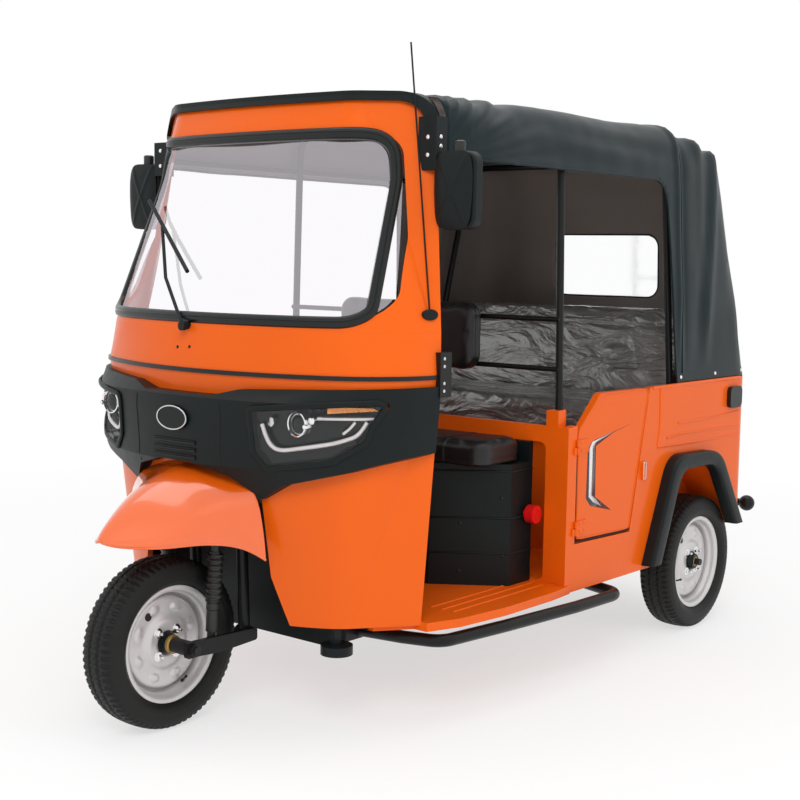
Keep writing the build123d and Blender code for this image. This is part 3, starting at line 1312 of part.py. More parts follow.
AXLE_TUBE = 34.0
DIFF_HALF = 62.0
DIFF_RADIUS = 98.0
DRUM_RADIUS = 96.0
rear_axle_y = back(WHEELBASE)
with BuildPart() as rear_axle:
    with BuildSketch(Plane(origin=(60 - HALF_TRACK, rear_axle_y, TYRE_RADIUS), z_dir=(1, 0, 0))):
        Circle(AXLE_TUBE)
    extrude(amount=2 * HALF_TRACK - 120)
    with BuildSketch(Plane(origin=(-DIFF_HALF, rear_axle_y, TYRE_RADIUS), z_dir=(1, 0, 0))):
        Circle(DIFF_RADIUS)
    extrude(amount=2 * DIFF_HALF)
    chamfer(rear_axle.edges().filter_by(GeomType.CIRCLE).group_by(SortBy.RADIUS)[-1], 24)
    with BuildSketch(Plane(origin=(0, rear_axle_y, TYRE_RADIUS), z_dir=(0, -1, 0))):
        Circle(40)
    extrude(amount=150)
    for side in (-1, 1):
        with BuildSketch(Plane(origin=(side * (HALF_TRACK - 102), rear_axle_y, TYRE_RADIUS), z_dir=(side, 0, 0))):
            Circle(DRUM_RADIUS)
        extrude(amount=48)
        with BuildSketch(Plane(origin=(side * (HALF_TRACK - 70), rear_axle_y, TYRE_RADIUS), z_dir=(side, 0, 0))):
            Circle(STUB_RADIUS)
        extrude(amount=132)
rear_axle.part.label = "rear_axle"
export_step(rear_axle.part, "parts/rear_axle.step")

SPRING_X = RAIL_X + 70.0
SPRING_WIDTH = 50.0
SPRING_REACH = 266.0
SPRING_RISE = 88.0
LEAF_THICK = 9.0
LEAF_REACHES = (SPRING_REACH, 200.0, 130.0)
SPRING_SEAT_Z = 296.0
EYE_RADIUS = 17.0
rail_face = RAIL_X + RAIL_WIDTH / 2
with BuildPart() as leaf_springs:
    for leaf, reach in enumerate(LEAF_REACHES):
        middle = SPRING_SEAT_Z - leaf * LEAF_THICK
        end = middle + SPRING_RISE * (reach / SPRING_REACH) ** 2
        front_y = back(WHEELBASE - reach)
        rear_y = back(WHEELBASE + reach)
        with BuildSketch(Plane.YZ.offset(SPRING_X - SPRING_WIDTH / 2)):
            with BuildLine():
                ThreePointArc((front_y, end), (rear_axle_y, middle), (rear_y, end))
                Line((rear_y, end), (rear_y, end - LEAF_THICK))
                ThreePointArc((rear_y, end - LEAF_THICK), (rear_axle_y, middle - LEAF_THICK), (front_y, end - LEAF_THICK))
                Line((front_y, end - LEAF_THICK), (front_y, end))
            make_face()
        extrude(amount=SPRING_WIDTH)
    for side in (-1, 1):
        eye_y = back(WHEELBASE + side * SPRING_REACH)
        with BuildSketch(Plane(origin=(rail_face, eye_y, SPRING_SEAT_Z + SPRING_RISE), z_dir=(1, 0, 0))):
            Circle(EYE_RADIUS)
        extrude(amount=SPRING_X + SPRING_WIDTH / 2 - rail_face)
        with BuildSketch(Plane.YZ.offset(rail_face)):
            with Locations((eye_y, SPRING_SEAT_Z + SPRING_RISE + 18)):
                Rectangle(44, 52)
        extrude(amount=6)
    with BuildSketch(Plane.XY.offset(TYRE_RADIUS - 40)):
        with Locations((SPRING_X, rear_axle_y)):
            Rectangle(66, 90)
    extrude(amount=104)
    with BuildSketch(Plane(origin=(SPRING_X - 40, rear_axle_y, TYRE_RADIUS), z_dir=(1, 0, 0))):
        Circle(AXLE_TUBE)
    extrude(amount=80, mode=Mode.SUBTRACT)
    mirror(about=Plane.YZ)
leaf_springs.part.label = "leaf_springs"
export_step(leaf_springs.part, "parts/leaf_springs.step")

SHAFT_Z = 228.0
shaft_front = ENGINE_STATION + 92.0
with BuildPart() as engine_block:
    with BuildSketch(Plane.XY.offset(SILL_Z)):
        with Locations((0, back(ENGINE_STATION))):
            Rectangle(340, 180)
    extrude(amount=300)
    with BuildSketch(Plane.XY.offset(190)):
        with Locations((0, back(ENGINE_STATION + 2))):
            Rectangle(300, 180)
    extrude(amount=SILL_Z - 189)
    for side in (-1, 1):
        with BuildSketch(Plane.XY.offset(SILL_Z)):
            with Locations((side * 120, back(ENGINE_STATION))):
                Rectangle(50, ENGINE_HOLE)
        extrude(amount=20)
    # shaft back to the axle
    with BuildSketch(Plane(origin=(0, back(shaft_front), SHAFT_Z), z_dir=(0, 1, 0))):
        Circle(16)
    extrude(amount=WHEELBASE - 150 - shaft_front)
engine_block.part.label = "engine_block"
export_step(engine_block.part, "parts/engine_block.step")

MUFFLER_X = -220.0
MUFFLER_Z = 176.0
MUFFLER_STATION = PARTITION_STATION + 105.0
with BuildPart() as exhaust:
    with BuildSketch(Plane(origin=(MUFFLER_X, back(MUFFLER_STATION), MUFFLER_Z), z_dir=(0, 1, 0))):
        Circle(46)
    extrude(amount=400)
    with BuildLine() as pipe_path:
        FilletPolyline(
            (-150, back(ENGINE_STATION), 225),
            (MUFFLER_X, back(ENGINE_STATION), 225),
            (MUFFLER_X, back(ENGINE_STATION + 130), MUFFLER_Z),
            (MUFFLER_X, back(MUFFLER_STATION + 10), MUFFLER_Z),
            radius=30,
        )
    with BuildSketch(Plane(origin=pipe_path.line @ 0, z_dir=pipe_path.line % 0)):
        Circle(15)
    sweep(path=pipe_path.line)
    with BuildSketch(Plane.XY.offset(MUFFLER_Z + 24)):
        with Locations((MUFFLER_X - 45, back(MUFFLER_STATION + 210))):
            Rectangle(90, 30)
    extrude(amount=SILL_Z - MUFFLER_Z - 24 - SKIN_GAP)
exhaust.part.label = "exhaust"
export_step(exhaust.part, "parts/exhaust.step")

# black plates on the door posts at belt height
with BuildPart() as post_brackets:
    with BuildSketch(Plane.YZ.offset(BODY_HALF_WIDTH - 30)):
        with Locations((back(POST_STATION + 9.5), BELT_Z + 7)):
            Rectangle(49, 122)
    extrude(amount=31)
    mirror(about=Plane.YZ)
    add([upper_cowl.part, lower_cowl.part, belt_trim.part, lamp_panel.part], mode=Mode.SUBTRACT)
post_brackets.part.label = "post_brackets"
export_step(post_brackets.part, "parts/post_brackets.step")

MIRROR_Z = 1500.0
MIRROR_DEPTH = 35.0
MIRROR_ARM = 14.0
BRACKETS = [
    # side, lower z, upper z
    (1, HEADER_Z - 203, HEADER_Z - 58),
    (-1, HEADER_Z - 193, HEADER_Z - 88),
]
mirror_middle = (BODY_HALF_WIDTH + 3, MIRROR_Z)
arm_foot = Vector(BODY_HALF_WIDTH - 90, back(HEADER_STATION - 15), MIRROR_Z + 90)
arm_head = Vector(BODY_HALF_WIDTH - 5, back(HEADER_STATION - 15), MIRROR_Z + 92)
with BuildPart() as mirrors:
    with BuildSketch(Plane.XZ.offset(-back(HEADER_STATION - 35))):
        with Locations(mirror_middle):
            RectangleRounded(130, 210, 34)
    extrude(amount=-MIRROR_DEPTH)
    fillet(mirrors.faces().sort_by(Axis.Y)[0].edges(), 10)
    with BuildSketch(Plane(origin=arm_foot, z_dir=arm_head - arm_foot)):
        Circle(MIRROR_ARM)
    extrude(amount=(arm_head - arm_foot).length)
    mirror(about=Plane.YZ)
    # brackets that wrap the door posts under the header, taller on the left
    for side, bracket_low, bracket_high in BRACKETS:
        with BuildSketch(Plane.XY.offset(bracket_low)):
            with BuildLine():
                Polyline(
                    (side * (BODY_HALF_WIDTH - 118), back(HEADER_STATION - 45)),
                    (side * (BODY_HALF_WIDTH - 55), back(HEADER_STATION - 45)),
                    (side * (BODY_HALF_WIDTH - 55), back(HEADER_STATION + 2)),
                    (side * (BODY_HALF_WIDTH - 95), back(HEADER_STATION + 2)),
                    close=True,
                )
            make_face()
        extrude(amount=bracket_high - bracket_low)
    add([upper_cowl.part, windshield_seal.part, roof_frame.part, canopy.part, roof_visor.part], mode=Mode.SUBTRACT)
mirrors.part.label = "mirrors"
export_step(mirrors.part, "parts/mirrors.step")

pad_middle = Vector(BODY_HALF_WIDTH - 39.7, back(POST_STATION - 18.4), SCREEN_SILL_Z + 50)
pad_out = Vector(0.95, -0.28, 0.13)
whip_tip = Vector(BODY_HALF_WIDTH - 133.6, back(POST_STATION), HEADER_Z + 139)
whip_foot = pad_middle + pad_out * 4
with BuildPart() as antenna:
    with BuildSketch(Plane(origin=pad_middle - pad_out * 9, z_dir=pad_out)):
        Ellipse(24, 15)
    extrude(amount=18)
    add(upper_cowl.part, mode=Mode.SUBTRACT)
    with BuildSketch(Plane(origin=whip_foot, z_dir=whip_tip - whip_foot)):
        Circle(2.5)
    extrude(amount=(whip_tip - whip_foot).length)
antenna.part.label = "antenna"
export_step(antenna.part, "parts/antenna.step")

# splash guard between the front wheel and the driver's feet: an upright sheet with a flap below the floor, and a
# narrower sheet that slopes forward
GUARD_SHEET = 4.0
GUARD_HALF = BODY_HALF_WIDTH - 172.0
FLAP_HALF = BODY_HALF_WIDTH - 252.0
FLAP_LOW = 212.0
GUARD_TOP = 594.0
SLOPE_HALF = 224.0
# columns: station, z
GUARD_SLOPE = [
    (RAIL_FRONT, GUARD_TOP),
    (306.0, 644.0),
    (176.0, 689.0),
]
with BuildPart() as wheel_guard:
    with BuildSketch(Plane.XZ.offset(-back(RAIL_FRONT))):
        with Locations((0, (SILL_Z + GUARD_TOP) / 2)):
            Rectangle(2 * GUARD_HALF, GUARD_TOP - SILL_Z)
        with Locations((0, (FLAP_LOW + SILL_Z) / 2)):
            Rectangle(2 * FLAP_HALF, SILL_Z - FLAP_LOW)
    extrude(amount=GUARD_SHEET)
    with BuildSketch(Plane.YZ.offset(-SLOPE_HALF)):
        with BuildLine():
            Polyline(
                *[(back(station), z) for station, z in GUARD_SLOPE],
                *[(back(station - GUARD_SHEET), z - GUARD_SHEET) for station, z in reversed(GUARD_SLOPE)],
                close=True,
            )
        make_face()
    extrude(amount=2 * SLOPE_HALF)
    # slot for the head tube
    with BuildSketch(Plane.XY.offset(GUARD_TOP - 4)):
        with Locations((0, back(RAIL_FRONT - 92))):
            Rectangle(80, 176)
    extrude(amount=120, mode=Mode.SUBTRACT)
wheel_guard.part.label = "wheel_guard"
export_step(wheel_guard.part, "parts/wheel_guard.step")

with BuildPart() as tail_lamps:
    with BuildSketch(Plane.XZ.offset(-back(TUB_REAR))):
        with Locations((BODY_HALF_WIDTH - 160, 640), (160 - BODY_HALF_WIDTH, 640)):
            RectangleRounded(90, 180, 14)
    extrude(amount=-26)
tail_lamps.part.label = "tail_lamps"
export_step(tail_lamps.part, "parts/tail_lamps.step")

PLATE_HOLE = 3.5
PLATE_HOLE_X = 90.0
with BuildPart() as number_plate:
    with BuildSketch(Plane.XZ.offset(-back(TUB_REAR))):
        with Locations((0, 560)):
            RectangleRounded(260, 150, 8)
        with Locations((-PLATE_HOLE_X, 610), (PLATE_HOLE_X, 610)):
            Circle(PLATE_HOLE, mode=Mode.SUBTRACT)
    extrude(amount=-6)
number_plate.part.label = "number_plate"
export_step(number_plate.part, "parts/number_plate.step")

with BuildPart() as corner_buffers:
    with BuildSketch(Plane.YZ.offset(BODY_HALF_WIDTH)):
        with Locations((back(WHEELBASE + 192), 829)):
            RectangleRounded(92, 78, 20)
    extrude(amount=16)
    mirror(about=Plane.YZ)
corner_buffers.part.label = "corner_buffers"
export_step(corner_buffers.part, "parts/corner_buffers.step")

knob_x = BODY_HALF_WIDTH - 130.0
with BuildPart() as red_knob:
    with BuildSketch(Plane.YZ.offset(knob_x)):
        with Locations((back(PARTITION_STATION - 35), 530)):
            Circle(10)
    extrude(amount=14)
    with BuildSketch(Plane.YZ.offset(knob_x + 14)):
        with Locations((back(PARTITION_STATION - 35), 530)):
            Circle(28)
    extrude(amount=30)
red_knob.part.label = "red_knob"
export_step(red_knob.part, "parts/red_knob.step")

with BuildPart() as brake_pedal:
    with BuildSketch(Plane.YZ.offset(-170)):
        with BuildLine():
            Polyline(
                (back(440), FLOOR_TOP_Z),
                (back(405), 420),
                (back(398), 470),
                (back(404), 472),
                (back(414), 424),
                (back(452), FLOOR_TOP_Z),
                close=True,
            )
        make_face()
    extrude(amount=50)
brake_pedal.part.label = "brake_pedal"
export_step(brake_pedal.part, "parts/brake_pedal.step")

HORN_STATION = 276.0
HORN_Z = 240.0
STRAP_X = BODY_HALF_WIDTH - 232.0
with BuildPart() as horn:
    with BuildSketch(Plane.XY.offset(HORN_Z - 14)):
        with Locations((STRAP_X + 12, back(HORN_STATION))):
            Circle(45)
    extrude(amount=26)
    with BuildSketch(Plane.YZ.offset(STRAP_X)):
        with Locations((back(HORN_STATION), HORN_Z + 44)):
            Rectangle(28, 88)
    extrude(amount=16)
    add(lower_cowl.part, mode=Mode.SUBTRACT)
horn.part.label = "horn"
export_step(horn.part, "parts/horn.step")

TRAY_STATION = 345.0
TRAY_DEPTH = 100.0
TRAY_LOW = 800.0
TRAY_HIGH = 860.0
TRAY_WALL = 4.0
inside_cowl = cowl_form(lower_sections, -COWL_WALL, SPILL)
tray_middle = back(TRAY_STATION + TRAY_DEPTH / 2)
with BuildPart() as dash_tray:
    with BuildSketch(Plane.XY.offset(TRAY_LOW)):
        with Locations((0, tray_middle)):
            Rectangle(2 * BODY_HALF_WIDTH, TRAY_DEPTH)
    extrude(amount=TRAY_HIGH - TRAY_LOW)
    add(inside_cowl, mode=Mode.INTERSECT)
    with BuildSketch(Plane.XY.offset(TRAY_LOW + TRAY_WALL)):
        with Locations((0, tray_middle)):
            Rectangle(2 * (BODY_HALF_WIDTH - 90), TRAY_DEPTH - 2 * TRAY_WALL)
    extrude(amount=TRAY_HIGH - TRAY_LOW, mode=Mode.SUBTRACT)
dash_tray.part.label = "dash_tray"
export_step(dash_tray.part, "parts/dash_tray.step")
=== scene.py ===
"""Studio picture of the auto rickshaw: materials, wheels, lamps, soft goods, fittings, light and camera."""

import math

import bpy
import numpy as np
from mathutils import Matrix, Vector, noise
from mathutils.bvhtree import BVHTree


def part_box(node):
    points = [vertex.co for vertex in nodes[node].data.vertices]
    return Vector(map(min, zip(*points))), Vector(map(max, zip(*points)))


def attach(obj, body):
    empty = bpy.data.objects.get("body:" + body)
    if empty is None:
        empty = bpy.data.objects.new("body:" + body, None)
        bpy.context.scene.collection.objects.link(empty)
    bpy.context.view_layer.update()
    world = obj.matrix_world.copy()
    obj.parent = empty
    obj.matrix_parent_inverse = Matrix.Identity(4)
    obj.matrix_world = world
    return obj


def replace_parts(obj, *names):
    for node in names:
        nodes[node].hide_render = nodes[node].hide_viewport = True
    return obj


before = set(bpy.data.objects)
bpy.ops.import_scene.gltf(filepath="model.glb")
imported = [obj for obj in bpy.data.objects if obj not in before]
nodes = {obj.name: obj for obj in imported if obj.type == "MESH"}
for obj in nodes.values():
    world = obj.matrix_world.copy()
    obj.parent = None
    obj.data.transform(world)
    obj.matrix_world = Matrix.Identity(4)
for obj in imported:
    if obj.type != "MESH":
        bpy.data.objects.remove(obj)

scene = bpy.context.scene
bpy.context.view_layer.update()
X_AXIS, Y_AXIS, Z_AXIS = Vector((1, 0, 0)), Vector((0, 1, 0)), Vector((0, 0, 1))
FRONT_AXLE = 1.1  # how far the front axle is in front of the row's origin
FULL_TURN = 2 * math.pi
HANDS = ((1, "left"), (-1, "right"))


def back(station):
    """Row Y of a distance behind the front axle."""
    return station - FRONT_AXLE


# ---------------------------------------------------------------- materials
def node(tree, kind, inputs=None, **settings):
    """A new shader node, with a value or a socket to link from for each given input."""
    made = tree.nodes.new("ShaderNode" + kind)
    for key, value in settings.items():
        setattr(made, key, value)
    for key, value in (inputs or {}).items():
        if isinstance(value, bpy.types.NodeSocket):
            tree.links.new(value, made.inputs[key])
        else:
            made.inputs[key].default_value = value
    return made


def material(name):
    """An empty node material, its tree and its shader."""
    made = bpy.data.materials.new(name)
    made.use_nodes = True
    tree = made.node_tree
    tree.nodes.clear()
    shader = node(tree, "BsdfPrincipled")
    node(tree, "OutputMaterial", {0: shader.outputs[0]})
    return made, tree, shader


def noise_field(tree, scale, detail=4.0, distortion=0.0, stretch=None):
    """Object-space noise, drawn out along the axes by stretch."""
    place = node(tree, "TexCoord").outputs["Object"]
    if stretch:
        place = node(tree, "Mapping", {"Scale": stretch, "Vector": place}).outputs["Vector"]
    inputs = {"Scale": scale, "Detail": detail, "Distortion": distortion, "Vector": place}
    return node(tree, "TexNoise", inputs).outputs["Fac"]


def surface(
    name, color, rough, *, metal=0.0, coat=0.0, coat_rough=0.05, sheen=0.0, mottle=40.0, shade=0.12,
    spread=0.08, bump=0.0, grain=400.0, distance=0.001, stretch=None, distortion=0.0, alpha=1.0, gloss=0.5,
):
    """A surface whose colour and roughness vary with object-space noise, with a grain or creases as bump."""
    made, tree, shader = material(name)
    field = noise_field(tree, mottle)
    dark, light = [c * (1 - shade) for c in color], [min(1.0, c * (1 + shade)) for c in color]
    mix = node(tree, "Mix", {0: field, 6: (*dark, 1), 7: (*light, 1)}, data_type="RGBA")
    low, high = max(0.0, rough - spread), min(1.0, rough + spread)
    roughness = node(tree, "MapRange", {"Value": field, "To Min": low, "To Max": high})
    tree.links.new(mix.outputs[2], shader.inputs["Base Color"])
    tree.links.new(roughness.outputs["Result"], shader.inputs["Roughness"])
    values = [("Metallic", metal), ("Specular IOR Level", gloss), ("Sheen Weight", sheen), ("Alpha", alpha)]
    for key, value in values + [("Coat Weight", coat), ("Coat Roughness", coat_rough)]:
        shader.inputs[key].default_value = value
    if bump:
        height = noise_field(tree, grain, 5.0, distortion, stretch)
        relief = node(tree, "Bump", {"Strength": bump, "Distance": distance, "Height": height})
        for key in ("Normal", "Coat Normal") if coat else ("Normal",):
            tree.links.new(relief.outputs["Normal"], shader.inputs[key])
    return made


PAINT = (0.78, 0.113, 0.004)
ORANGE = surface(
    "orange_paint", PAINT, 0.3, coat=0.2, mottle=2.5, shade=0.03, spread=0.04, gloss=0.12, bump=0.03,
    grain=60.0,
)
FRAME_BLACK = surface("black_frame_paint", (0.006, 0.0065, 0.0065), 0.36, coat=0.1, bump=0.15, gloss=0.2)
FENDER_ORANGE = surface("fender_orange_paint", PAINT, 0.2, coat=1.0, coat_rough=0.08, shade=0.03, mottle=2.5)
FENDER_ORANGE.node_tree.nodes["Principled BSDF"].inputs["Coat IOR"].default_value = 1.6
PLASTIC = surface("black_grained_plastic", (0.0055, 0.0085, 0.0085), 0.42, bump=0.25, grain=900.0, gloss=0.2)
RUBBER = surface("black_rubber", (0.006, 0.008, 0.008), 0.3, bump=0.1, grain=300.0, gloss=0.35)
TYRE = surface("tyre_rubber", (0.0065, 0.007, 0.0065), 0.55, bump=0.3, grain=350.0, shade=0.3, gloss=0.3)
RIM = surface("silver_rim_paint", (0.62, 0.6, 0.6), 0.34, metal=0.45, bump=0.08, mottle=9.0)
STEEL = surface("plated_steel", (0.62, 0.62, 0.62), 0.22, metal=1.0, bump=0.1)
CHROME = surface("chrome", (0.85, 0.85, 0.86), 0.08, metal=1.0, shade=0.04, spread=0.03)
BRASS = surface("yellow_passivated_steel", (0.42, 0.27, 0.08), 0.35, metal=0.9, bump=0.2, mottle=90.0)
CAST = surface("dark_cast_metal", (0.02, 0.02, 0.021), 0.5, metal=0.5, bump=0.4, grain=160.0)
CANVAS = surface(
    "canopy_canvas", (0.0025, 0.01, 0.0125), 0.36, sheen=0.01, bump=0.3, grain=1400.0, mottle=4.0,
    shade=0.25, gloss=0.2,
)
LINING = surface("canopy_lining", (0.26, 0.235, 0.215), 0.6, bump=0.3, grain=1200.0, mottle=3.0, shade=0.2)
VINYL = surface("black_vinyl", (0.008, 0.008, 0.0085), 0.34, bump=0.35, grain=420.0, gloss=0.4)
WRAPPED = surface(
    "vinyl_under_clear_wrap", (0.22, 0.225, 0.22), 0.3, metal=0.6, coat=1.0, coat_rough=0.07, bump=0.9,
    grain=7.0, distance=0.03, stretch=(0.6, 1.4, 1.6), distortion=1.4,
)
RED = surface("red_plastic", (0.62, 0.006, 0.008), 0.28, coat=0.15, gloss=0.3)
RED_LENS = surface("red_lens", (0.40, 0.003, 0.004), 0.14, coat=0.15, gloss=0.3, bump=0.3, grain=90.0)
AMBER = surface("amber_lens", (0.75, 0.24, 0.015), 0.15, coat=0.7, bump=0.4, grain=120.0)
WHITE_PLATE = surface("plate_white", (0.8, 0.8, 0.78), 0.35)
GLOSS_BLACK = surface("gloss_black", (0.004, 0.006, 0.006), 0.14, coat=0.1, shade=0.2, gloss=0.2)
LIGHT_BAR = surface("frosted_light_bar", (0.62, 0.58, 0.58), 0.2, metal=0.35, coat=0.5, mottle=25.0)
SCREEN = surface("screen_glass", (0.9, 0.86, 0.92), 0.03, metal=1.0, shade=0.02, spread=0.01, alpha=0.36)
LAMP_COVER = surface("lamp_cover", (0.95, 0.95, 0.96), 0.03, metal=1.0, shade=0.02, spread=0.01, alpha=0.03)
FILM = surface(
    "rear_window_film", (0.92, 0.93, 0.95), 0.05, metal=1.0, shade=0.02, alpha=0.12, bump=0.1, grain=20.0
)
STRIPE_DARK = surface("stripe_dark", (0.02, 0.022, 0.035), 0.25, coat=0.6)
STRIPE_SILVER = surface("stripe_silver", (0.7, 0.68, 0.68), 0.25, coat=0.6)
# near-black that paints the shade inside the nose slots, along the nose creases and in the door's shut gaps
SHADE_GAP = surface("painted_gap_shade", (0.006, 0.006, 0.006), 0.7)
BOOT = surface("black_boot", (0.012, 0.013, 0.012), 0.4, bump=0.1)

SLOT_LOOKS = dict(
    body_paint=ORANGE, frame_paint=FRAME_BLACK, black_plastic=PLASTIC, seal_rubber=RUBBER, tyre_rubber=TYRE,
    rim_steel=RIM, steel=STEEL, cast_metal=CAST, canopy_fabric=CANVAS, seat_vinyl=VINYL, red_plastic=RED,
    red_lens=RED_LENS, plate_white=WHITE_PLATE, lens=GLOSS_BLACK, glass=SCREEN, clear_sheet=FILM,
)
for carried in nodes.values():
    for place in carried.material_slots:
        slot_name = place.material.name.split(".")[0] if place.material else ""
        if slot_name in SLOT_LOOKS:
            place.material = SLOT_LOOKS[slot_name]
for name, look in (("shocks", BOOT), ("front_axle", CAST), ("badge", GLOSS_BLACK)):
    nodes[name].material_slots[0].material = look


# ---------------------------------------------------------------- mesh helpers
def placed(name, data, body):
    """An object that rides on a body."""
    made = bpy.data.objects.new(name, data)
    scene.collection.objects.link(made)
    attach(made, body)
    return made


def piece(name, form, look, body="root", sharp=None):
    """A smooth-shaded mesh from its points and faces, sharp at edges over that many degrees."""
    points, faces = form
    mesh = bpy.data.meshes.new(name)
    mesh.from_pydata([tuple(p) for p in points], [], faces)
    mesh.shade_smooth()
    if sharp:
        mesh.set_sharp_from_angle(angle=math.radians(sharp))
    mesh.materials.append(look)
    return placed(name, mesh, body)


def tube(name, runs, radius, look, body="root", closed=False):
    """Round bars along rows of points."""
    curve = bpy.data.curves.new(name, "CURVE")
    curve.dimensions = "3D"
    curve.bevel_depth = radius
    curve.bevel_resolution = 4
    curve.use_fill_caps = True
    curve.materials.append(look)
    for run in runs:
        spline = curve.splines.new("POLY")
        spline.points.add(len(run) - 1)
        for point, place in zip(spline.points, run):
            point.co = (*place, 1)
        spline.use_cyclic_u = closed
        spline.use_smooth = True
    return placed(name, curve, body)


def grid_faces(rows, columns, closed=False):
    """Quads between neighbouring points of a grid stored row by row, its columns joined round when closed."""
    faces = []
    for low in range(0, (rows - 1) * columns, columns):
        for c in range(columns if closed else columns - 1):
            after = (c + 1) % columns
            faces.append((low + c, low + after, low + columns + after, low + columns + c))
    return faces


def turned(profile, place, axis, steps=32):
    """Points and faces of a (height, radius) profile turned about an axis, with both ends closed."""
    axis = Vector(axis).normalized()
    side = axis.orthogonal().normalized()
    other = axis.cross(side)
    points = []
    for height, radius in profile:
        for k in range(steps):
            angle = FULL_TURN * k / steps
            spoke = side * math.cos(angle) + other * math.sin(angle)
            points.append(Vector(place) + axis * height + spoke * radius)
    faces = grid_faces(len(profile), steps, closed=True)
    faces.append(tuple(reversed(range(steps))))
    faces.append(tuple(range((len(profile) - 1) * steps, len(profile) * steps)))
    return points, faces


def joined(parts):
    """One list of points and faces from several."""
    points, faces = [], []
    for more_points, more_faces in parts:
        shift = len(points)
        points.extend(more_points)
        faces.extend(tuple(i + shift for i in face) for face in more_faces)
    return points, faces


def nut_form(place, axis, r):
    """A washer under a six-sided nut with a slightly domed end."""
    washer = [(-0.0005, 1.7 * r), (0.2 * r, 1.7 * r), (0.3 * r, 1.55 * r)]
    head = [(0.2 * r, 1.1 * r), (0.95 * r, 1.1 * r), (1.1 * r, 0.9 * r), (1.2 * r, 0.3 * r)]
    return joined([turned(washer, place, axis, 20), turned(head, place, axis, 6)])


def dome_form(place, axis, radius):
    """A low domed rivet or stud."""
    arc = [(math.sin(a) * radius * 0.6, math.cos(a) * radius) for a in (0.0, 0.3, 0.6, 0.9, 1.2, 1.45)]
    return turned([(-0.001, radius)] + arc, place, axis, 20)


def studs_piece(name, places, axis, radius, look, body="root"):
    """Domed studs that face one way, as one piece."""
    return piece(name, joined([dome_form(Vector(p), axis, radius) for p in places]), look, body, 40)


def mesh_form(mesh):
    """Points and faces of a mesh."""
    return [v.co.copy() for v in mesh.vertices], [p.vertices[:] for p in mesh.polygons]


def tree_of(*names):
    """A ray-cast tree over some CAD nodes."""
    return BVHTree.FromPolygons(*joined([mesh_form(nodes[n].data) for n in names]))


def hit(tree, origin, direction):
    """Where a ray meets a tree, and the normal there, turned towards the ray's start."""
    direction = Vector(direction)
    place, normal, _, _ = tree.ray_cast(Vector(origin), direction)
    if place is not None and normal.dot(direction) > 0:
        normal = -normal
    return place, normal


def from_front(tree, x, z, out=0.0):
    """The point that a ray from the front meets, moved out along the surface's normal, and that normal."""
    place, normal = hit(tree, (x, -3, z), Y_AXIS)
    return place + normal * out, normal


def smooth_row(values, rounds, closed=False):
    """A row of vectors, averaged with its neighbours a number of times."""
    row = np.array([tuple(v) for v in values])
    for _ in range(rounds):
        mean = (np.roll(row, 1, 0) + 2 * row + np.roll(row, -1, 0)) / 4
        if not closed:
            mean[0], mean[-1] = row[0], row[-1]
        row = mean
    return [Vector(v) for v in row]


def resampled(row, count, closed=False):
    """Rows at even distances along a row of points, of which the first three columns are the place."""
    row = np.array([tuple(v) for v in row])
    if closed:
        row = np.vstack([row, row[:1]])
    along = np.concatenate([[0], np.cumsum(np.linalg.norm(np.diff(row[:, :3], axis=0), axis=1))])
    wanted = np.linspace(0, along[-1], count + closed)[:count]
    return np.array([[np.interp(w, along, column) for column in row.T] for w in wanted])


def swept(path, normals, section, closed=False):
    """A section of (across, out) carried along a path, its out along the normals."""
    count, width = len(path), len(section)
    points = []
    for i in range(count):
        before = path[(i - 1) % count] if closed or i else path[i]
        after = path[(i + 1) % count] if closed or i < count - 1 else path[i]
        tangent = Vector(after - before).normalized()
        normal = Vector(normals[i])
        normal = (normal - tangent * normal.dot(tangent)).normalized()
        across = tangent.cross(normal)
        points.extend(Vector(path[i]) + across * a + normal * out for a, out in section)
    faces = grid_faces(count, width, closed=True)
    last = (count - 1) * width
    if closed:
        faces.extend((last + c, last + (c + 1) % width, (c + 1) % width, c) for c in range(width))
    else:
        faces += [tuple(range(width)), tuple(reversed(range(last, last + width)))]
    return points, faces


def modified(made, kind, **settings):
    """Adds a modifier and applies it at once."""
    change = made.modifiers.new("change", kind)
    for key, value in settings.items():
        setattr(change, key, value)
    depsgraph = bpy.context.evaluated_depsgraph_get()
    mesh = bpy.data.meshes.new_from_object(made.evaluated_get(depsgraph), depsgraph=depsgraph)
    made.modifiers.remove(change)
    old, made.data = made.data, mesh
    bpy.data.meshes.remove(old)


def pushed(mesh, amount):
    """Moves each vertex along its normal by amount(place)."""
    normals = [v.normal.copy() for v in mesh.vertices]
    for v, normal in zip(mesh.vertices, normals):
        v.co = v.co + normal * amount(v.co)
    mesh.update()


# ---------------------------------------------------------------- wheels
AXLE_Z = 0.24
HALF_TRACK = 0.562
WHEELBASE = 2.0
# the tyre's outline from bead to crown, columns: distance from its middle plane, radius
TYRE_OUTLINE = [
    (0.0405, 0.153), (0.0408, 0.1648), (0.047, 0.168), (0.0525, 0.1725), (0.0575, 0.179), (0.0604, 0.186),
    (0.0616, 0.194), (0.0618, 0.202), (0.061, 0.21), (0.0594, 0.217), (0.0572, 0.2235), (0.0545, 0.229),
    (0.0515, 0.2328), (0.047, 0.2353), (0.04, 0.2372), (0.03, 0.2385), (0.02, 0.2393), (0.01, 0.2397),
    (0.0, 0.2398),
]
TYRE_STEPS = 432
LUGS = 72
GROOVE_MIDDLE, GROOVE_HALF_WIDTH, SHOULDER_RADIUS = 0.0145, 0.0028, 0.2285
# of the zigzag grooves, the shoulder's notches, the crown's sipes and the sidewall's ribs
GROOVE_DEPTH, NOTCH_DEPTH, SIPE_DEPTH, SIDEWALL_DEPTH = 0.005, 0.0042, 0.0025, 0.0011
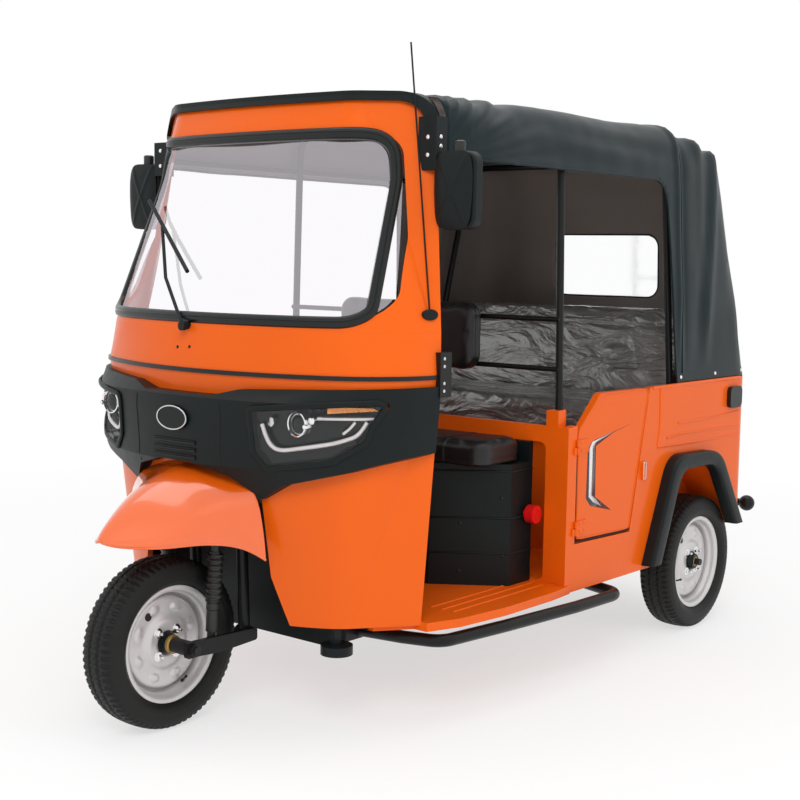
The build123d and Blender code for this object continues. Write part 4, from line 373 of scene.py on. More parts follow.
# the rim's outer face, columns: distance out from the wheel's middle plane, radius
RIM_FACE = [
    (0.0405, 0.153), (0.0405, 0.162), (0.0425, 0.1644), (0.0452, 0.164), (0.0458, 0.161), (0.045, 0.156),
    (0.0425, 0.152), (0.0385, 0.1498), (0.032, 0.1488), (0.026, 0.147), (0.0205, 0.1425), (0.015, 0.1408),
    (0.002, 0.1402), (-0.006, 0.1385), (-0.0072, 0.136), (-0.004, 0.133), (0.004, 0.1305), (0.01, 0.1282),
    (0.0128, 0.124), (0.0132, 0.118), (0.013, 0.09), (0.0138, 0.08), (0.0165, 0.074), (0.0215, 0.067),
    (0.024, 0.06), (0.024, 0.04), (0.0225, 0.034), (0.016, 0.031),
]
RIM_BACK = [(-out, radius) for out, radius in RIM_FACE[:8]] + [(-0.015, 0.145), (-0.006, 0.144)]
RIM_STEPS, RIM_ROWS = 120, 70
DIMPLES, DIMPLE_RING, DIMPLE_DEPTH = 8, 0.1, 0.0042
# small turned fittings, columns: distance out along the axis, radius
STUD = [(0.008, 0.0042), (0.02, 0.0042), (0.0215, 0.003)]
HUB = [(0.005, 0.036), (0.026, 0.034), (0.034, 0.029), (0.04, 0.027), (0.042, 0.024), (0.042, 0.014)]
DRUM = [(-0.044, 0.06), (-0.02, 0.062), (0.002, 0.128), (-0.004, 0.13), (-0.012, 0.128)]
AXLE_CAP = [
    (0.03, 0.0165), (0.041, 0.0165), (0.0435, 0.015), (0.0435, 0.009), (0.0455, 0.008), (0.0457, 0.003),
]
AXLE_COLLAR = [(0.04, 0.0235), (0.044, 0.0262), (0.052, 0.0262), (0.056, 0.0235)]
VALVE = [(0.0, 0.0052), (0.009, 0.0044), (0.016, 0.003), (0.03, 0.003), (0.031, 0.004), (0.038, 0.0038)]
NUT_FACE, NUT_RING, RIM_DISC, VALVE_RING = 0.024, 0.047, 0.015, 0.139


def tyre_height(out, radius, turn):
    """How far the tread and sidewall pattern moves a point in towards the axle."""
    lug = turn * LUGS / FULL_TURN
    zigzag = abs((lug / 2) % 1.0 - 0.5) * 0.008
    drops = [0.0]
    for middle in (GROOVE_MIDDLE, -GROOVE_MIDDLE):
        if abs(out - middle - math.copysign(zigzag - 0.002, middle)) < GROOVE_HALF_WIDTH:
            drops.append(GROOVE_DEPTH)
    if 0.031 < abs(out) and radius > SHOULDER_RADIUS and (lug + 0.5 * (out > 0)) % 1.0 < 0.34:
        drops.append(NOTCH_DEPTH)
    if abs(out) < 0.028 and (lug * 1.5 + 160 * abs(out)) % 1.0 < 0.18:
        drops.append(SIPE_DEPTH)
    if 0.2105 < radius < SHOULDER_RADIUS and (lug * 2) % 1.0 < 0.5:
        drops.append(SIDEWALL_DEPTH)
    return max(drops)


def tyre_form(middle):
    """A tyre round a wheel's middle point, its axle along X."""
    half = [(a, b) for a, b, _ in resampled([(*spot, 0) for spot in TYRE_OUTLINE], 34)]
    outline = half + [(-a, b) for a, b in reversed(half[:-1])]
    points = []
    for out, radius in outline:
        ring = 0.0009 if 0.183 < radius < 0.1865 or 0.199 < radius < 0.2015 else 0.0
        for k in range(TYRE_STEPS):
            turn = FULL_TURN * k / TYRE_STEPS
            reach = radius - tyre_height(out, radius, turn)
            wall = out - math.copysign(ring, out)
            points.append(middle + Vector((wall, math.cos(turn) * reach, math.sin(turn) * reach)))
    return points, grid_faces(len(outline), TYRE_STEPS, closed=True)


def dimple(radius, turn):
    """How far the ring of oval dimples in the rim's disc stands out."""
    aside = ((turn * DIMPLES / FULL_TURN) % 1.0 - 0.5) * FULL_TURN / DIMPLES * DIMPLE_RING
    oval = (aside / 0.017) ** 2 + ((radius - 0.102) / 0.013) ** 2
    return DIMPLE_DEPTH * (1 - oval) ** 0.5 if 0.08 < radius < 0.122 and oval < 1 else 0.0


def rim_form(middle, side, outline, dimpled):
    """One face of a pressed rim."""
    points = []
    for out, radius, _ in resampled([(*spot, 0) for spot in outline], RIM_ROWS):
        for k in range(RIM_STEPS):
            turn = FULL_TURN * k / RIM_STEPS
            place = side * (out + (dimple(radius, turn) if dimpled else 0.0))
            points.append(middle + Vector((place, math.cos(turn) * radius, math.sin(turn) * radius)))
    return points, grid_faces(RIM_ROWS, RIM_STEPS, closed=True)


def dress_wheel(wheel, body, middle, side):
    """Tyre, rim and fittings of one wheel, whose dish faces the given side."""
    outward, front = X_AXIS * side, wheel == "front"
    tyre = piece(f"{wheel}_tyre_treaded", tyre_form(middle), TYRE, body, 38)
    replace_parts(tyre, f"{wheel}_tyre")
    faces = [rim_form(middle, side, RIM_FACE, True), rim_form(middle, side, RIM_BACK, False)]
    rim = piece(f"{wheel}_rim_pressed", joined(faces), RIM, body, 50)
    modified(rim, "SOLIDIFY", thickness=0.0022, offset=0.0)
    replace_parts(rim, f"{wheel}_rim")
    nuts = []
    for k in range(4):
        turn = math.radians(45 + 90 * k)
        spot = middle + outward * NUT_FACE + Vector((0, math.cos(turn), math.sin(turn))) * NUT_RING
        nuts += [nut_form(spot, outward, 0.0085), turned(STUD, spot, outward, 16)]
    piece(f"{wheel}_wheel_nuts", joined(nuts), CHROME, body, 30)
    hub = [turned(HUB, middle, outward, 40), turned(DRUM, middle, outward, 64)]
    piece(f"{wheel}_hub_housing", joined(hub), GLOSS_BLACK, body, 30)
    end = turned(AXLE_COLLAR if front else AXLE_CAP, middle, outward)
    piece("front_axle_collar" if front else f"{wheel}_axle_end", end, BRASS, body, 30)
    turn = math.radians(-27 if front else 65)
    spoke = Vector((0, -math.sin(turn), -math.cos(turn)))
    foot = middle + outward * RIM_DISC + spoke * VALVE_RING
    valve = turned(VALVE, foot, outward * 0.75 - spoke * 0.6, 16)
    # a thin black disc on the rim's face paints the shade seen through a hole in the disc
    hole_middle = middle + outward * RIM_DISC + Vector((0, -0.06, 0.082))
    hole = turned([(-0.001, 0.0115), (0.0006, 0.0115)], hole_middle, outward, 28)
    piece(f"{wheel}_valve_and_hole_shade", joined([valve, hole]), RUBBER, body, 30)


dress_wheel("front", "front_wheel", Vector((0, back(0), AXLE_Z)), 1)
for side, hand in HANDS:
    middle = Vector((side * HALF_TRACK, back(WHEELBASE), AXLE_Z))
    dress_wheel(f"rear_{hand}", f"rear_wheel_{hand}", middle, side)

# ---------------------------------------------------------------- front fender
# columns: station, half width at the foot and at the shoulder, z of the foot, the shoulder and the crown
FENDER_SECTIONS = [
    (-0.2135, 0.003, 0.002, 0.553, 0.5535, 0.555),
    (-0.212, 0.016, 0.012, 0.549, 0.553, 0.562),
    (-0.195, 0.044, 0.038, 0.543, 0.551, 0.582),
    (-0.165, 0.07, 0.062, 0.539, 0.55, 0.61),
    (-0.11, 0.116, 0.108, 0.536, 0.556, 0.652),
    (-0.05, 0.14, 0.132, 0.537, 0.588, 0.686),
    (0.01, 0.158, 0.148, 0.537, 0.622, 0.708),
    (0.06, 0.2, 0.186, 0.534, 0.648, 0.722),
    (0.092, 0.248, 0.224, 0.524, 0.658, 0.728),
    (0.125, 0.285, 0.246, 0.493, 0.676, 0.741),
]
FENDER_ROWS = 51
table = np.array(FENDER_SECTIONS).T
steps = np.linspace(0, len(FENDER_SECTIONS) - 1, FENDER_ROWS)
stations = np.array([[np.interp(s, range(len(FENDER_SECTIONS)), column) for column in table] for s in steps])
for _ in range(10):
    stations[1:-1] = (stations[:-2] + 2 * stations[1:-1] + stations[2:]) / 4
fender_points = []
for station, half_foot, half_shoulder, foot_z, shoulder_z, crown_z in stations:
    half = [(half_foot - 0.001, foot_z), (half_foot - 0.0005, foot_z + 0.006)]
    for t in (0.3, 0.6, 0.9):
        belly = 0.006 * math.sin(math.pi * t)
        half.append((half_foot + (half_shoulder - half_foot) * t + belly, foot_z + (shoulder_z - foot_z) * t))
    for t in np.linspace(0, 1, 15)[1:]:
        rise = math.sin(math.pi / 2 * t)
        half.append((half_shoulder * (1 - t), shoulder_z + (crown_z - shoulder_z) * rise))
    row = half + [(-x, z) for x, z in reversed(half[:-1])]
    fender_points.extend((x, back(station), z) for x, z in row)
columns = len(row)
fender_form = fender_points, grid_faces(FENDER_ROWS, columns)
fender = piece("front_fender_pressing", fender_form, FENDER_ORANGE, sharp=60)
modified(fender, "SOLIDIFY", thickness=0.003, offset=-1.0)
modified(fender, "SUBSURF", levels=1)
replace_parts(fender, "front_fender")
hem = fender_points[::columns][::-1] + fender_points[columns - 1 :: columns]
tube("front_fender_hem", [hem], 0.0035, FENDER_ORANGE)

# ---------------------------------------------------------------- boots of the front shocks
BOOT_FOLD, BOOT_RADIUS, FOLD_HEIGHT = 0.0165, 0.0215, 0.0022
BOOT_START, BOOT_END = 0.42, 0.86  # shares of the shock's length
boots = []
for side, _ in HANDS:
    cloud = np.array([tuple(v.co) for v in nodes["shocks"].data.vertices if v.co.x * side > 0])
    middle = cloud.mean(axis=0)
    axis = Vector(np.linalg.svd(cloud - middle, full_matrices=False)[2][0])
    axis = -axis if axis.z < 0 else axis
    reach = [(Vector(p) - Vector(middle)).dot(axis) for p in cloud]
    low, high = min(reach), max(reach)
    start, end = low + BOOT_START * (high - low), low + BOOT_END * (high - low)
    profile = [
        (d, BOOT_RADIUS + FOLD_HEIGHT * math.cos(FULL_TURN * (d - start) / BOOT_FOLD))
        for d in np.arange(start, end, BOOT_FOLD / 8)
    ]
    boots.append(turned(profile, middle, axis, 36))
piece("shock_boots", joined(boots), BOOT, "steering", 60)


# ---------------------------------------------------------------- canopy
CANOPY_FRONT = 0.5185
SPINE_END = 1.86
EAVE_Z, FOOT_Z = 1.588, 0.9005
# outlines seen from the side and from the front, convex, columns: station or x, z
ROOF_LINE = [
    (0.518, 1.766), (0.764, 1.788), (1.1, 1.808), (1.79, 1.802), (1.924, 1.772), (2.115, 1.724),
    (2.24, 1.672), (2.308, 1.56), (2.338, 1.32), (2.338, 0.9),
]
ARCH_LINE = [(0.0, 1.818), (0.4, 1.806), (0.53, 1.782), (0.586, 1.715), (0.604, 1.6), (0.632, 0.9)]
EDGE_SOFTNESS = 0.01
BOWS = [0.518, 1.112, 1.795, 1.975, 2.13, 2.34]
WINDOW_HALF_WIDTH, WINDOW_HALF_HEIGHT, WINDOW_MIDDLE_Z, WINDOW_CORNER = 0.236, 0.1185, 1.2985, 0.045
DOOR_CORNER = 0.085
SHEET_THICKNESS = 0.002


def half_planes(line):
    """The outward normal and a point of each run of a convex outline."""
    planes = []
    for (a, b), (c, d) in zip(line, line[1:]):
        length = math.hypot(c - a, d - b)
        planes.append(((b - d) / length, (c - a) / length, a, b))
    return planes


ROOF_PLANES, ARCH_PLANES = half_planes(ROOF_LINE), half_planes(ARCH_LINE)


def canopy_depth(x, station, z):
    """Distance outside the canopy's surface, negative inside, with its edges softened."""
    x = abs(x)
    t = (z - 0.9) / 0.918  # 0 at the foot of the walls, 1 at the crown
    shoulder, rear = 0.636 + 0.004 * t, 0.636 - 0.091 * t
    rear_station, corner = 2.338 - 0.038 * t, 0.095 + 0.175 * t
    if station < 0.9:
        half = 0.572 + (shoulder - 0.572) * (station - CANOPY_FRONT) / (0.9 - CANOPY_FRONT)
    else:
        half = shoulder + (rear - shoulder) * (station - 0.9) / (rear_station - 0.9)
    u, v = x - (half - corner), station - (rear_station - corner)
    fields = [math.hypot(u, v) - corner if u > 0 and v > 0 else max(u, v) - corner]
    fields += [nx * (station - a) + nz * (z - b) for nx, nz, a, b in ROOF_PLANES]
    fields += [nx * (x - a) + nz * (z - b) for nx, nz, a, b in ARCH_PLANES]
    most = max(fields)
    return most + EDGE_SOFTNESS * math.log(sum(math.exp((f - most) / EDGE_SOFTNESS) for f in fields))


def canopy_hit(origin, direction):
    """Where a ray from inside meets the canopy's surface."""
    near, far = 0.0, 1.3  # the far end lies outside everywhere
    for _ in range(26):
        middle = (near + far) / 2
        if canopy_depth(*(origin + direction * middle)) < 0:
            near = middle
        else:
            far = middle
    return origin + direction * near


def door_line(z):
    """Station of the door opening's rear edge."""
    return 1.712 + 0.056 * max(0.0, EAVE_Z - z) / 0.688


def door_field(station, z):
    """Distance outside the door opening, negative inside it, with its upper rear corner rounded."""
    a, b = z - EAVE_Z, station - door_line(z)
    u, v = a + DOOR_CORNER, b + DOOR_CORNER
    return math.hypot(u, v) - DOOR_CORNER if u > 0 and v > 0 else max(a, b)


def window_field(x, z):
    """Distance outside the rear window, negative inside it."""
    u = abs(x) - WINDOW_HALF_WIDTH + WINDOW_CORNER
    v = abs(z - WINDOW_MIDDLE_Z) - WINDOW_HALF_HEIGHT + WINDOW_CORNER
    return math.hypot(max(u, 0), max(v, 0)) + min(max(u, v), 0.0) - WINDOW_CORNER


def bump(value, middle, width):
    """A bell curve of height 1."""
    return math.exp(-(((value - middle) / width) ** 2))


def ramp(value, start, length):
    """Climbs from 0 at the start to 1 at its end."""
    return min(1.0, max(0.0, (value - start) / length))


def canopy_folds(x, station, z):
    """How far folds and the pull of the bows move the cloth out."""
    roof, wall = ramp(z, 1.66, 0.08), ramp(z, 0.93, 0.25)
    out = 0.0
    for near, far in zip(BOWS, BOWS[1:]):
        if near <= station <= far:
            sag = 0.009 if far - near > 0.3 else 0.013
            out -= sag * math.sin(math.pi * (station - near) / (far - near)) ** 2 * roof
    # folds that fan out from the front end of the eave, and folds across the upper band of the sides
    reach, angle = math.hypot(station - 0.46, z - 1.57), math.atan2(z - 1.57, station - 0.46)
    fan = bump(reach, 0.34, 0.22) * (angle > 0.05) * (abs(x) > 0.4)
    out += 0.0075 * math.sin(angle * 34.0 + 0.6) * fan
    band = bump(z, 1.675, 0.075) * (abs(x) > 0.45) * bump(station, 1.35, 0.42)
    out += 0.0045 * math.sin((z + 0.05 * station) * FULL_TURN / 0.085) * band
    # the bows and hoops of the frame that show through the walls
    third_bow = 1.95 + 0.155 * ramp(z, 0.8, 0.88)
    if abs(x) > 0.3 or z < 1.6:
        out += wall * 0.007 * bump(station, 1.797, 0.018)
        out -= wall * 0.006 * bump(station, 1.837, 0.02)
        out += wall * 0.009 * bump(station, third_bow, 0.024)
        out -= wall * 0.005 * bump(station, third_bow - 0.06, 0.03)
        out += wall * 0.004 * bump(station, 1.99 - 0.03 * (z - 1.2), 0.02)
        out += wall * 0.008 * bump(station, 2.24, 0.028) * (abs(x) > 0.3)
    out += wall * 0.006 * math.sin(x * FULL_TURN / 0.31) * (station > 2.2) * ramp(-z, -1.75, 0.3)
    out += 0.0035 * noise.noise(Vector((x * 4, station * 4, z * 3))) * wall
    out += 0.0015 * noise.noise(Vector((x * 14, station * 14, z * 9))) * wall
    if z < 0.932:
        out += 0.0018
    return min(out, 0.009)


DOOR_COLUMNS, QUARTER_COLUMNS, FAN_COLUMNS = 74, 14, 42
WALL_ROWS, ROOF_ROWS = 54, 46
shares = [k / DOOR_COLUMNS for k in range(DOOR_COLUMNS)]
shares += [1 + k / QUARTER_COLUMNS for k in range(QUARTER_COLUMNS)]
fan_turns = [math.radians(90.0 * k / FAN_COLUMNS) for k in range(FAN_COLUMNS + 1)]
rows = [(FOOT_Z + (EAVE_Z - FOOT_Z) * k / WALL_ROWS, 0.0) for k in range(WALL_ROWS)]
rows += [(EAVE_Z, math.pi / 2 * (k / ROOF_ROWS) ** 1.15) for k in range(ROOF_ROWS + 1)]
canopy_points = []
for z, lift in rows:
    line = door_line(z)
    # rays leave the spine sideways as far as its end, and fan out round the rear from there
    starts = [
        (CANOPY_FRONT + (line - CANOPY_FRONT) * s if s <= 1 else line + (SPINE_END - line) * (s - 1), X_AXIS)
        for s in shares
    ]
    starts += [(SPINE_END, Vector((math.cos(turn), math.sin(turn), 0))) for turn in fan_turns]
    half = []
    for station, flat in starts:
        half.append(canopy_hit(Vector((0, station, z)), flat * math.cos(lift) + Z_AXIS * math.sin(lift)))
    canopy_points += half + [Vector((-p.x, p.y, p.z)) for p in reversed(half[:-1])]


def open_face(face):
    """True where the sheet has its door openings and its rear window."""
    middle = sum((canopy_points[i] for i in face), Vector()) / len(face)
    if middle.y < 1.95:
        return door_field(middle.y, middle.z) < 0
    return middle.y > 2.0 and abs(middle.x) < 0.4 and window_field(middle.x, middle.z) < 0


def snap(p, field, a, b):
    """Moves two coordinates of a point onto the zero line of a field."""
    step = 0.0005
    for _ in range(3):
        d = field(p[a], p[b])
        slope_a = (field(p[a] + step, p[b]) - d) / step
        slope_b = (field(p[a], p[b] + step) - d) / step
        p[a] -= d * slope_a
        p[b] -= d * slope_b


kept = [f for f in grid_faces(len(rows), len(canopy_points) // len(rows)) if not open_face(f)]
uses = {}
for face in kept:
    for k in range(4):
        edge = tuple(sorted((face[k], face[(k + 1) % 4])))
        uses[edge] = uses.get(edge, 0) + 1
for i in {i for edge, count in uses.items() if count == 1 for i in edge}:
    p = canopy_points[i]
    if p.y < 1.95 and abs(door_field(p.y, p.z)) < 0.016 and p.z > FOOT_Z + 0.002:
        snap(p, door_field, 1, 2)
    elif p.y > 2.0 and abs(p.x) < 0.4 and abs(window_field(p.x, p.z)) < 0.02:
        snap(p, window_field, 0, 2)
canopy_form = [(p.x, back(p.y), p.z) for p in canopy_points], kept
canopy_sheet = piece("canopy_sheet", canopy_form, CANVAS)
canopy_sheet.data.materials.append(LINING)
modified(canopy_sheet, "WELD", merge_threshold=0.0004)
sheet_mesh = canopy_sheet.data
if sum(v.normal.dot(v.co - Vector((0, 0.3, 1.2))) for v in sheet_mesh.vertices) < 0:
    sheet_mesh.flip_normals()
pushed(sheet_mesh, lambda p: canopy_folds(p.x, p.y + FRONT_AXLE, p.z) - SHEET_THICKNESS)
canopy_tree = BVHTree.FromPolygons(*mesh_form(sheet_mesh))
modified(canopy_sheet, "SOLIDIFY", thickness=SHEET_THICKNESS, offset=-1.0, material_offset=1)
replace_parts(canopy_sheet, "canopy")

# ---------------------------------------------------------------- windscreen seal and pane
seal_tree, glass_tree = tree_of("windshield_seal"), tree_of("windshield_glass")
upper_tree, lower_tree = tree_of("upper_cowl"), tree_of("lower_cowl")
panel_tree, lamp_tree = tree_of("lamp_panel"), tree_of("headlamps", "lamp_panel")
# corners of the seal's middle line seen from the front, x and z
SEAL_CORNERS = [(0.54, 1.146), (0.461, 1.656), (-0.461, 1.656), (-0.54, 1.146)]
SEAL_BEND = 0.072
SEAL_STEPS = 300
PANE_MIDDLE_Z = 1.401
PANE_SHARES = (1.0, 0.93, 0.85, 0.75, 0.62, 0.48, 0.34, 0.2, 0.08, 0.0)


def rounded_outline(corners, bend, steps, gap):
    """A closed outline with rounded corners, with points no further apart than gap on its straight runs."""
    spots = []
    for i, corner in enumerate(corners):
        corner = Vector(corner)
        before = (Vector(corners[i - 1]) - corner).normalized()
        after = (Vector(corners[(i + 1) % len(corners)]) - corner).normalized()
        half_angle = before.angle(after) / 2
        start, end = (corner + way * bend / math.tan(half_angle) for way in (before, after))
        centre = corner + (before + after).normalized() * bend / math.sin(half_angle)
        for k in range(steps + 1):
            spots.append(centre + (start.lerp(end, k / steps) - centre).normalized() * bend)
    out = []
    for a, b in zip(spots, spots[1:] + spots[:1]):
        count = max(1, int((b - a).length / gap))
        out.extend(a.lerp(b, k / count) for k in range(count))
    return out


def shrunk(outline, middle, share):
    """An outline drawn in towards a middle point, as (x, z)."""
    return [(middle[0] + (p.x - middle[0]) * share, middle[1] + (p.y - middle[1]) * share) for p in outline]


seal_outline = rounded_outline(SEAL_CORNERS, SEAL_BEND, 10, 0.006)
seal_hits = []
for spot in seal_outline:
    place, normal = hit(seal_tree, (spot.x, -3, spot.y), Y_AXIS)
    if place is not None:
        seal_hits.append((*(place - normal * 0.006), *normal))
even = resampled(seal_hits, SEAL_STEPS, closed=True)
seal_path = smooth_row(even[:, :3], 3, closed=True)
seal_normals = smooth_row(even[:, 3:], 8, closed=True)
turns = np.linspace(0.02, math.pi - 0.02, 11)
seal_section = [(0.0165 * math.cos(a), -0.003 + 0.0125 * math.sin(a) ** 0.8) for a in turns]
seal_section += [(-0.0165, -0.01), (0.0165, -0.01)]
seal_form = swept(seal_path, seal_normals, seal_section, closed=True)
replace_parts(piece("windscreen_seal_moulding", seal_form, RUBBER), "windshield_seal")
bead = [p + n * 0.0088 for p, n in zip(seal_path, seal_normals)]
tube("windscreen_seal_bead", [bead], 0.0022, GLOSS_BLACK, closed=True)


def pane_terms(x, z):
    """Terms of a surface that is the same on both sides of the middle plane."""
    z -= 1.4
    return [1, z, z * z, x * x, x * x * z, x**4, x**6, x**4 * z]


# the pane: a smooth sheet fitted to the CAD glass, its edge hidden in the seal
terms, depths = [], []
for z in np.linspace(1.17, 1.63, 24):
    for x in np.linspace(-0.5, 0.5, 41):
        place = hit(glass_tree, (x, -3, z), Y_AXIS)[0]
        if place is not None:
            terms.append(pane_terms(x, z))
            depths.append(place.y)
pane_shape = np.linalg.lstsq(np.array(terms), np.array(depths), rcond=None)[0]
pane_points = [
    (x, float(np.dot(pane_terms(x, z), pane_shape)), z)
    for share in PANE_SHARES
    for x, z in shrunk(seal_outline, (0.0, PANE_MIDDLE_Z), share)
]
pane_form = pane_points, grid_faces(len(PANE_SHARES), len(seal_outline), closed=True)
pane = piece("windscreen_pane", pane_form, SCREEN)
modified(pane, "WELD", merge_threshold=0.0002)
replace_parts(pane, "windshield_glass")

# ---------------------------------------------------------------- lamps
# seen from the front, x and z: the lamp's opening from its inner top corner round, and what lies in it
LAMP_OUTLINE = [
    (0.266, 0.91), (0.416, 0.925), (0.578, 0.937), (0.547, 0.873), (0.533, 0.824), (0.469, 0.774),
    (0.308, 0.749), (0.271, 0.793),
]
LAMP_MIDDLE = (0.42, 0.855)
AMBER_OUTLINE = [(0.466, 0.9035), (0.56, 0.911), (0.552, 0.919), (0.468, 0.9225)]
BAR_LOW = [
    (0.294, 0.868), (0.3, 0.845), (0.31, 0.818), (0.326, 0.801), (0.35, 0.7985), (0.4, 0.8075),
    (0.44, 0.815), (0.472, 0.822), (0.5, 0.832), (0.519, 0.841), (0.531, 0.858), (0.541, 0.88),
]
BAR_HIGH = [(x, 0.8895) for x in (0.443, 0.47, 0.5, 0.525, 0.552)]
BAR_INNER = [(0.52, 0.88), (0.508, 0.862), (0.494, 0.848)]
BARS = [
    # name, line, radius, distance out
    ("low", BAR_LOW, 0.0062, -0.016), ("high", BAR_HIGH, 0.005, -0.014), ("inner", BAR_INNER, 0.0042, -0.018),
]
# columns: share of the opening, distance out; the bowl sinks from its rim towards the back of the housing
BOWL_RINGS = [
    (1.0, 0.0015), (0.985, -0.004), (0.965, -0.018), (0.94, -0.03), (0.9, -0.034), (0.7, -0.036),
    (0.4, -0.036), (0.15, -0.036), (0.0, -0.036),
]
COVER_RINGS = [(share, 0.0005) for share in (0.985, 0.9, 0.75, 0.55, 0.35, 0.15, 0.0)]
RIM_SECTION = [(0.0085 * math.cos(a), 0.0045 * math.sin(a)) for a in np.linspace(0, FULL_TURN, 11)[:-1]]
# parts of the projector, columns: distance ahead, radius
CHROME_RING = [
    (-0.002, 0.0275), (0.004, 0.029), (0.008, 0.0315), (0.007, 0.0345), (0.002, 0.0358), (-0.006, 0.0352),
    (-0.012, 0.031), (-0.012, 0.0275),
]
FIN = [(0, 0.024), (0.0005, 0.0285), (0.0035, 0.0285), (0.004, 0.024)]
BOSS = [(-0.012, 0.006), (0.016, 0.0075), (0.02, 0.006)]
CLIP = [(-0.014, 0.01), (0.004, 0.011), (0.008, 0.008)]
BLOCK = [(-0.006, 0.01), (0.0, 0.013), (0.012, 0.014), (0.013, 0.011)]
PROJECTOR_GLASS = [(-0.004, 0.0272)]
PROJECTOR_GLASS += [(0.012 * math.sin(a) - 0.004, 0.027 * math.cos(a)) for a in np.linspace(0.1, 1.5, 9)]
AHEAD = -Y_AXIS


def lens_spot(side, x, z, out):
    """A point on the lamp's surface, moved out (negative: in) along its smoothed normal, and that normal."""
    hits = []
    for dx, dz in ((0, 0), (0.012, 0), (-0.012, 0), (0, 0.012), (0, -0.012)):
        place, normal = hit(lamp_tree, (side * (x + dx), -3, z + dz), Y_AXIS)
        if place is not None:
            hits.append((place, normal))
    normal = sum((n for _, n in hits), Vector()).normalized()
    return hits[0][0] + normal * out, normal


def lamp_spot(side, x, z, out):
    """The same, kept in front of the cowl behind the lamp when it is moved in."""
    place = lens_spot(side, x, z, out)[0]
    for tree in (upper_tree, lower_tree) if out < 0 else ():
        skin = hit(tree, (place.x, -3, place.z), Y_AXIS)[0]
        if skin is not None and place.y > skin.y - 0.003:
            place.y = skin.y - 0.003
    return place


def lamp_rings(side, outline, rings, spot):
    """A sheet of rings from the lamp's opening inwards, each ring's points found by spot."""
    points = [spot(side, x, z, out) for share, out in rings for x, z in shrunk(outline, LAMP_MIDDLE, share)]
    return points, grid_faces(len(rings), len(outline), closed=True)


def dress_lamp(side, hand):
    """Bowl, rim, cover, light bars, amber strip, shelf and projector of one lamp."""
    outline = rounded_outline(LAMP_OUTLINE, 0.012, 5, 0.005)
    bowl = lamp_rings(side, outline, BOWL_RINGS, lamp_spot)
    piece(f"lamp_bowl_{hand}", bowl, GLOSS_BLACK, sharp=40)
    rim_path, rim_normals = zip(*[lens_spot(side, s.x, s.y, 0.0) for s in outline])
    rim = swept(smooth_row(rim_path, 2, closed=True), rim_normals, RIM_SECTION, closed=True)
    piece(f"lamp_rim_{hand}", rim, PLASTIC)
    cover_form = lamp_rings(side, outline, COVER_RINGS, lambda *spot: lens_spot(*spot)[0])
    cover = piece(f"lamp_cover_{hand}", cover_form, LAMP_COVER)
    if side < 0:
        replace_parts(cover, "headlamps")
    for name, line, radius, depth in BARS:
        row = smooth_row(resampled([lens_spot(side, x, z, depth)[0] for x, z in line], 40), 2)
        tube(f"lamp_bar_{name}_{hand}", [row], radius, LIGHT_BAR)
    amber = [lens_spot(side, x, z, -0.01)[0] for x, z in AMBER_OUTLINE]
    strip, shelf = [], []
    for t in np.linspace(0, 1, 24):
        low, high = amber[0].lerp(amber[1], t), amber[3].lerp(amber[2], t)
        wave = 0.0012 * math.sin(t * 60)
        n = lens_spot(side, 0.47 + 0.08 * t, 0.912, 0)[1]
        strip += [low - n * 0.004, low + n * wave, high + n * wave, high - n * 0.004]
    piece(f"lamp_amber_{hand}", (strip, grid_faces(24, 4)), AMBER, sharp=30)
    for t in np.linspace(0, 1, 20):
        for z, depth in ((0.8985, -0.034), (0.8985, -0.008), (0.8955, -0.008), (0.8955, -0.034)):
            shelf.append(lens_spot(side, 0.455 + 0.11 * t, z + 0.002 * t, depth)[0])
    piece(f"lamp_shelf_{hand}", (shelf, grid_faces(20, 4)), GLOSS_BLACK, sharp=30)
    # the projector faces straight ahead in its chrome ring, with a finned body behind it
    middle = lens_spot(side, 0.385, 0.873, -0.004)[0] - AHEAD * 0.019
    parts = [turned(CHROME_RING, middle, AHEAD, 48)]
    parts.append(turned(BOSS, middle + Vector((side * 0.036, 0.006, -0.004)), AHEAD, 20))
    parts.append(turned(CLIP, middle + Vector((side * 0.043, 0.01, 0.012)), AHEAD, 20))
    for k in range(4):
        depth = -0.014 - 0.007 * k
        parts.append(turned([(depth + d, radius) for d, radius in FIN], middle, AHEAD, 40))
    piece(f"lamp_projector_{hand}", joined(parts), CHROME, sharp=35)
    piece(f"lamp_projector_glass_{hand}", turned(PROJECTOR_GLASS, middle, AHEAD, 40), GLOSS_BLACK)
    block = turned(BLOCK, lens_spot(side, 0.322, 0.872, -0.03)[0], AHEAD, 6)
    piece(f"lamp_side_block_{hand}", block, STEEL, sharp=30)


for side, hand in HANDS:
    dress_lamp(side, hand)

# ---------------------------------------------------------------- nose panel: painted shade in the slots and along the creases, badge, screws
CREASE = [
    (0.16, 0.936), (0.166, 0.92), (0.172, 0.89), (0.17, 0.85), (0.166, 0.8), (0.166, 0.75),
    (0.17, 0.727),
]
slots, slot_lips = [], []
for z in (0.8, 0.779, 0.759):
    row = [from_front(panel_tree, x, z, 0.0004)[0] for x in np.linspace(-0.084, 0.084, 25)]
    slots.append(smooth_row(row, 4))
    slot_lips.append(smooth_row([p + Vector((0, -0.0022, 0.0062)) for p in row], 4))
# near-black tubes paint the shade inside the three slots under their lips
tube("nose_slot_shade", slots, 0.0042, SHADE_GAP)
tube("nose_slot_lips", slot_lips, 0.0022, PLASTIC)
creases = [[from_front(panel_tree, side * x, z, 0.0004)[0] for x, z in CREASE] for side, _ in HANDS]
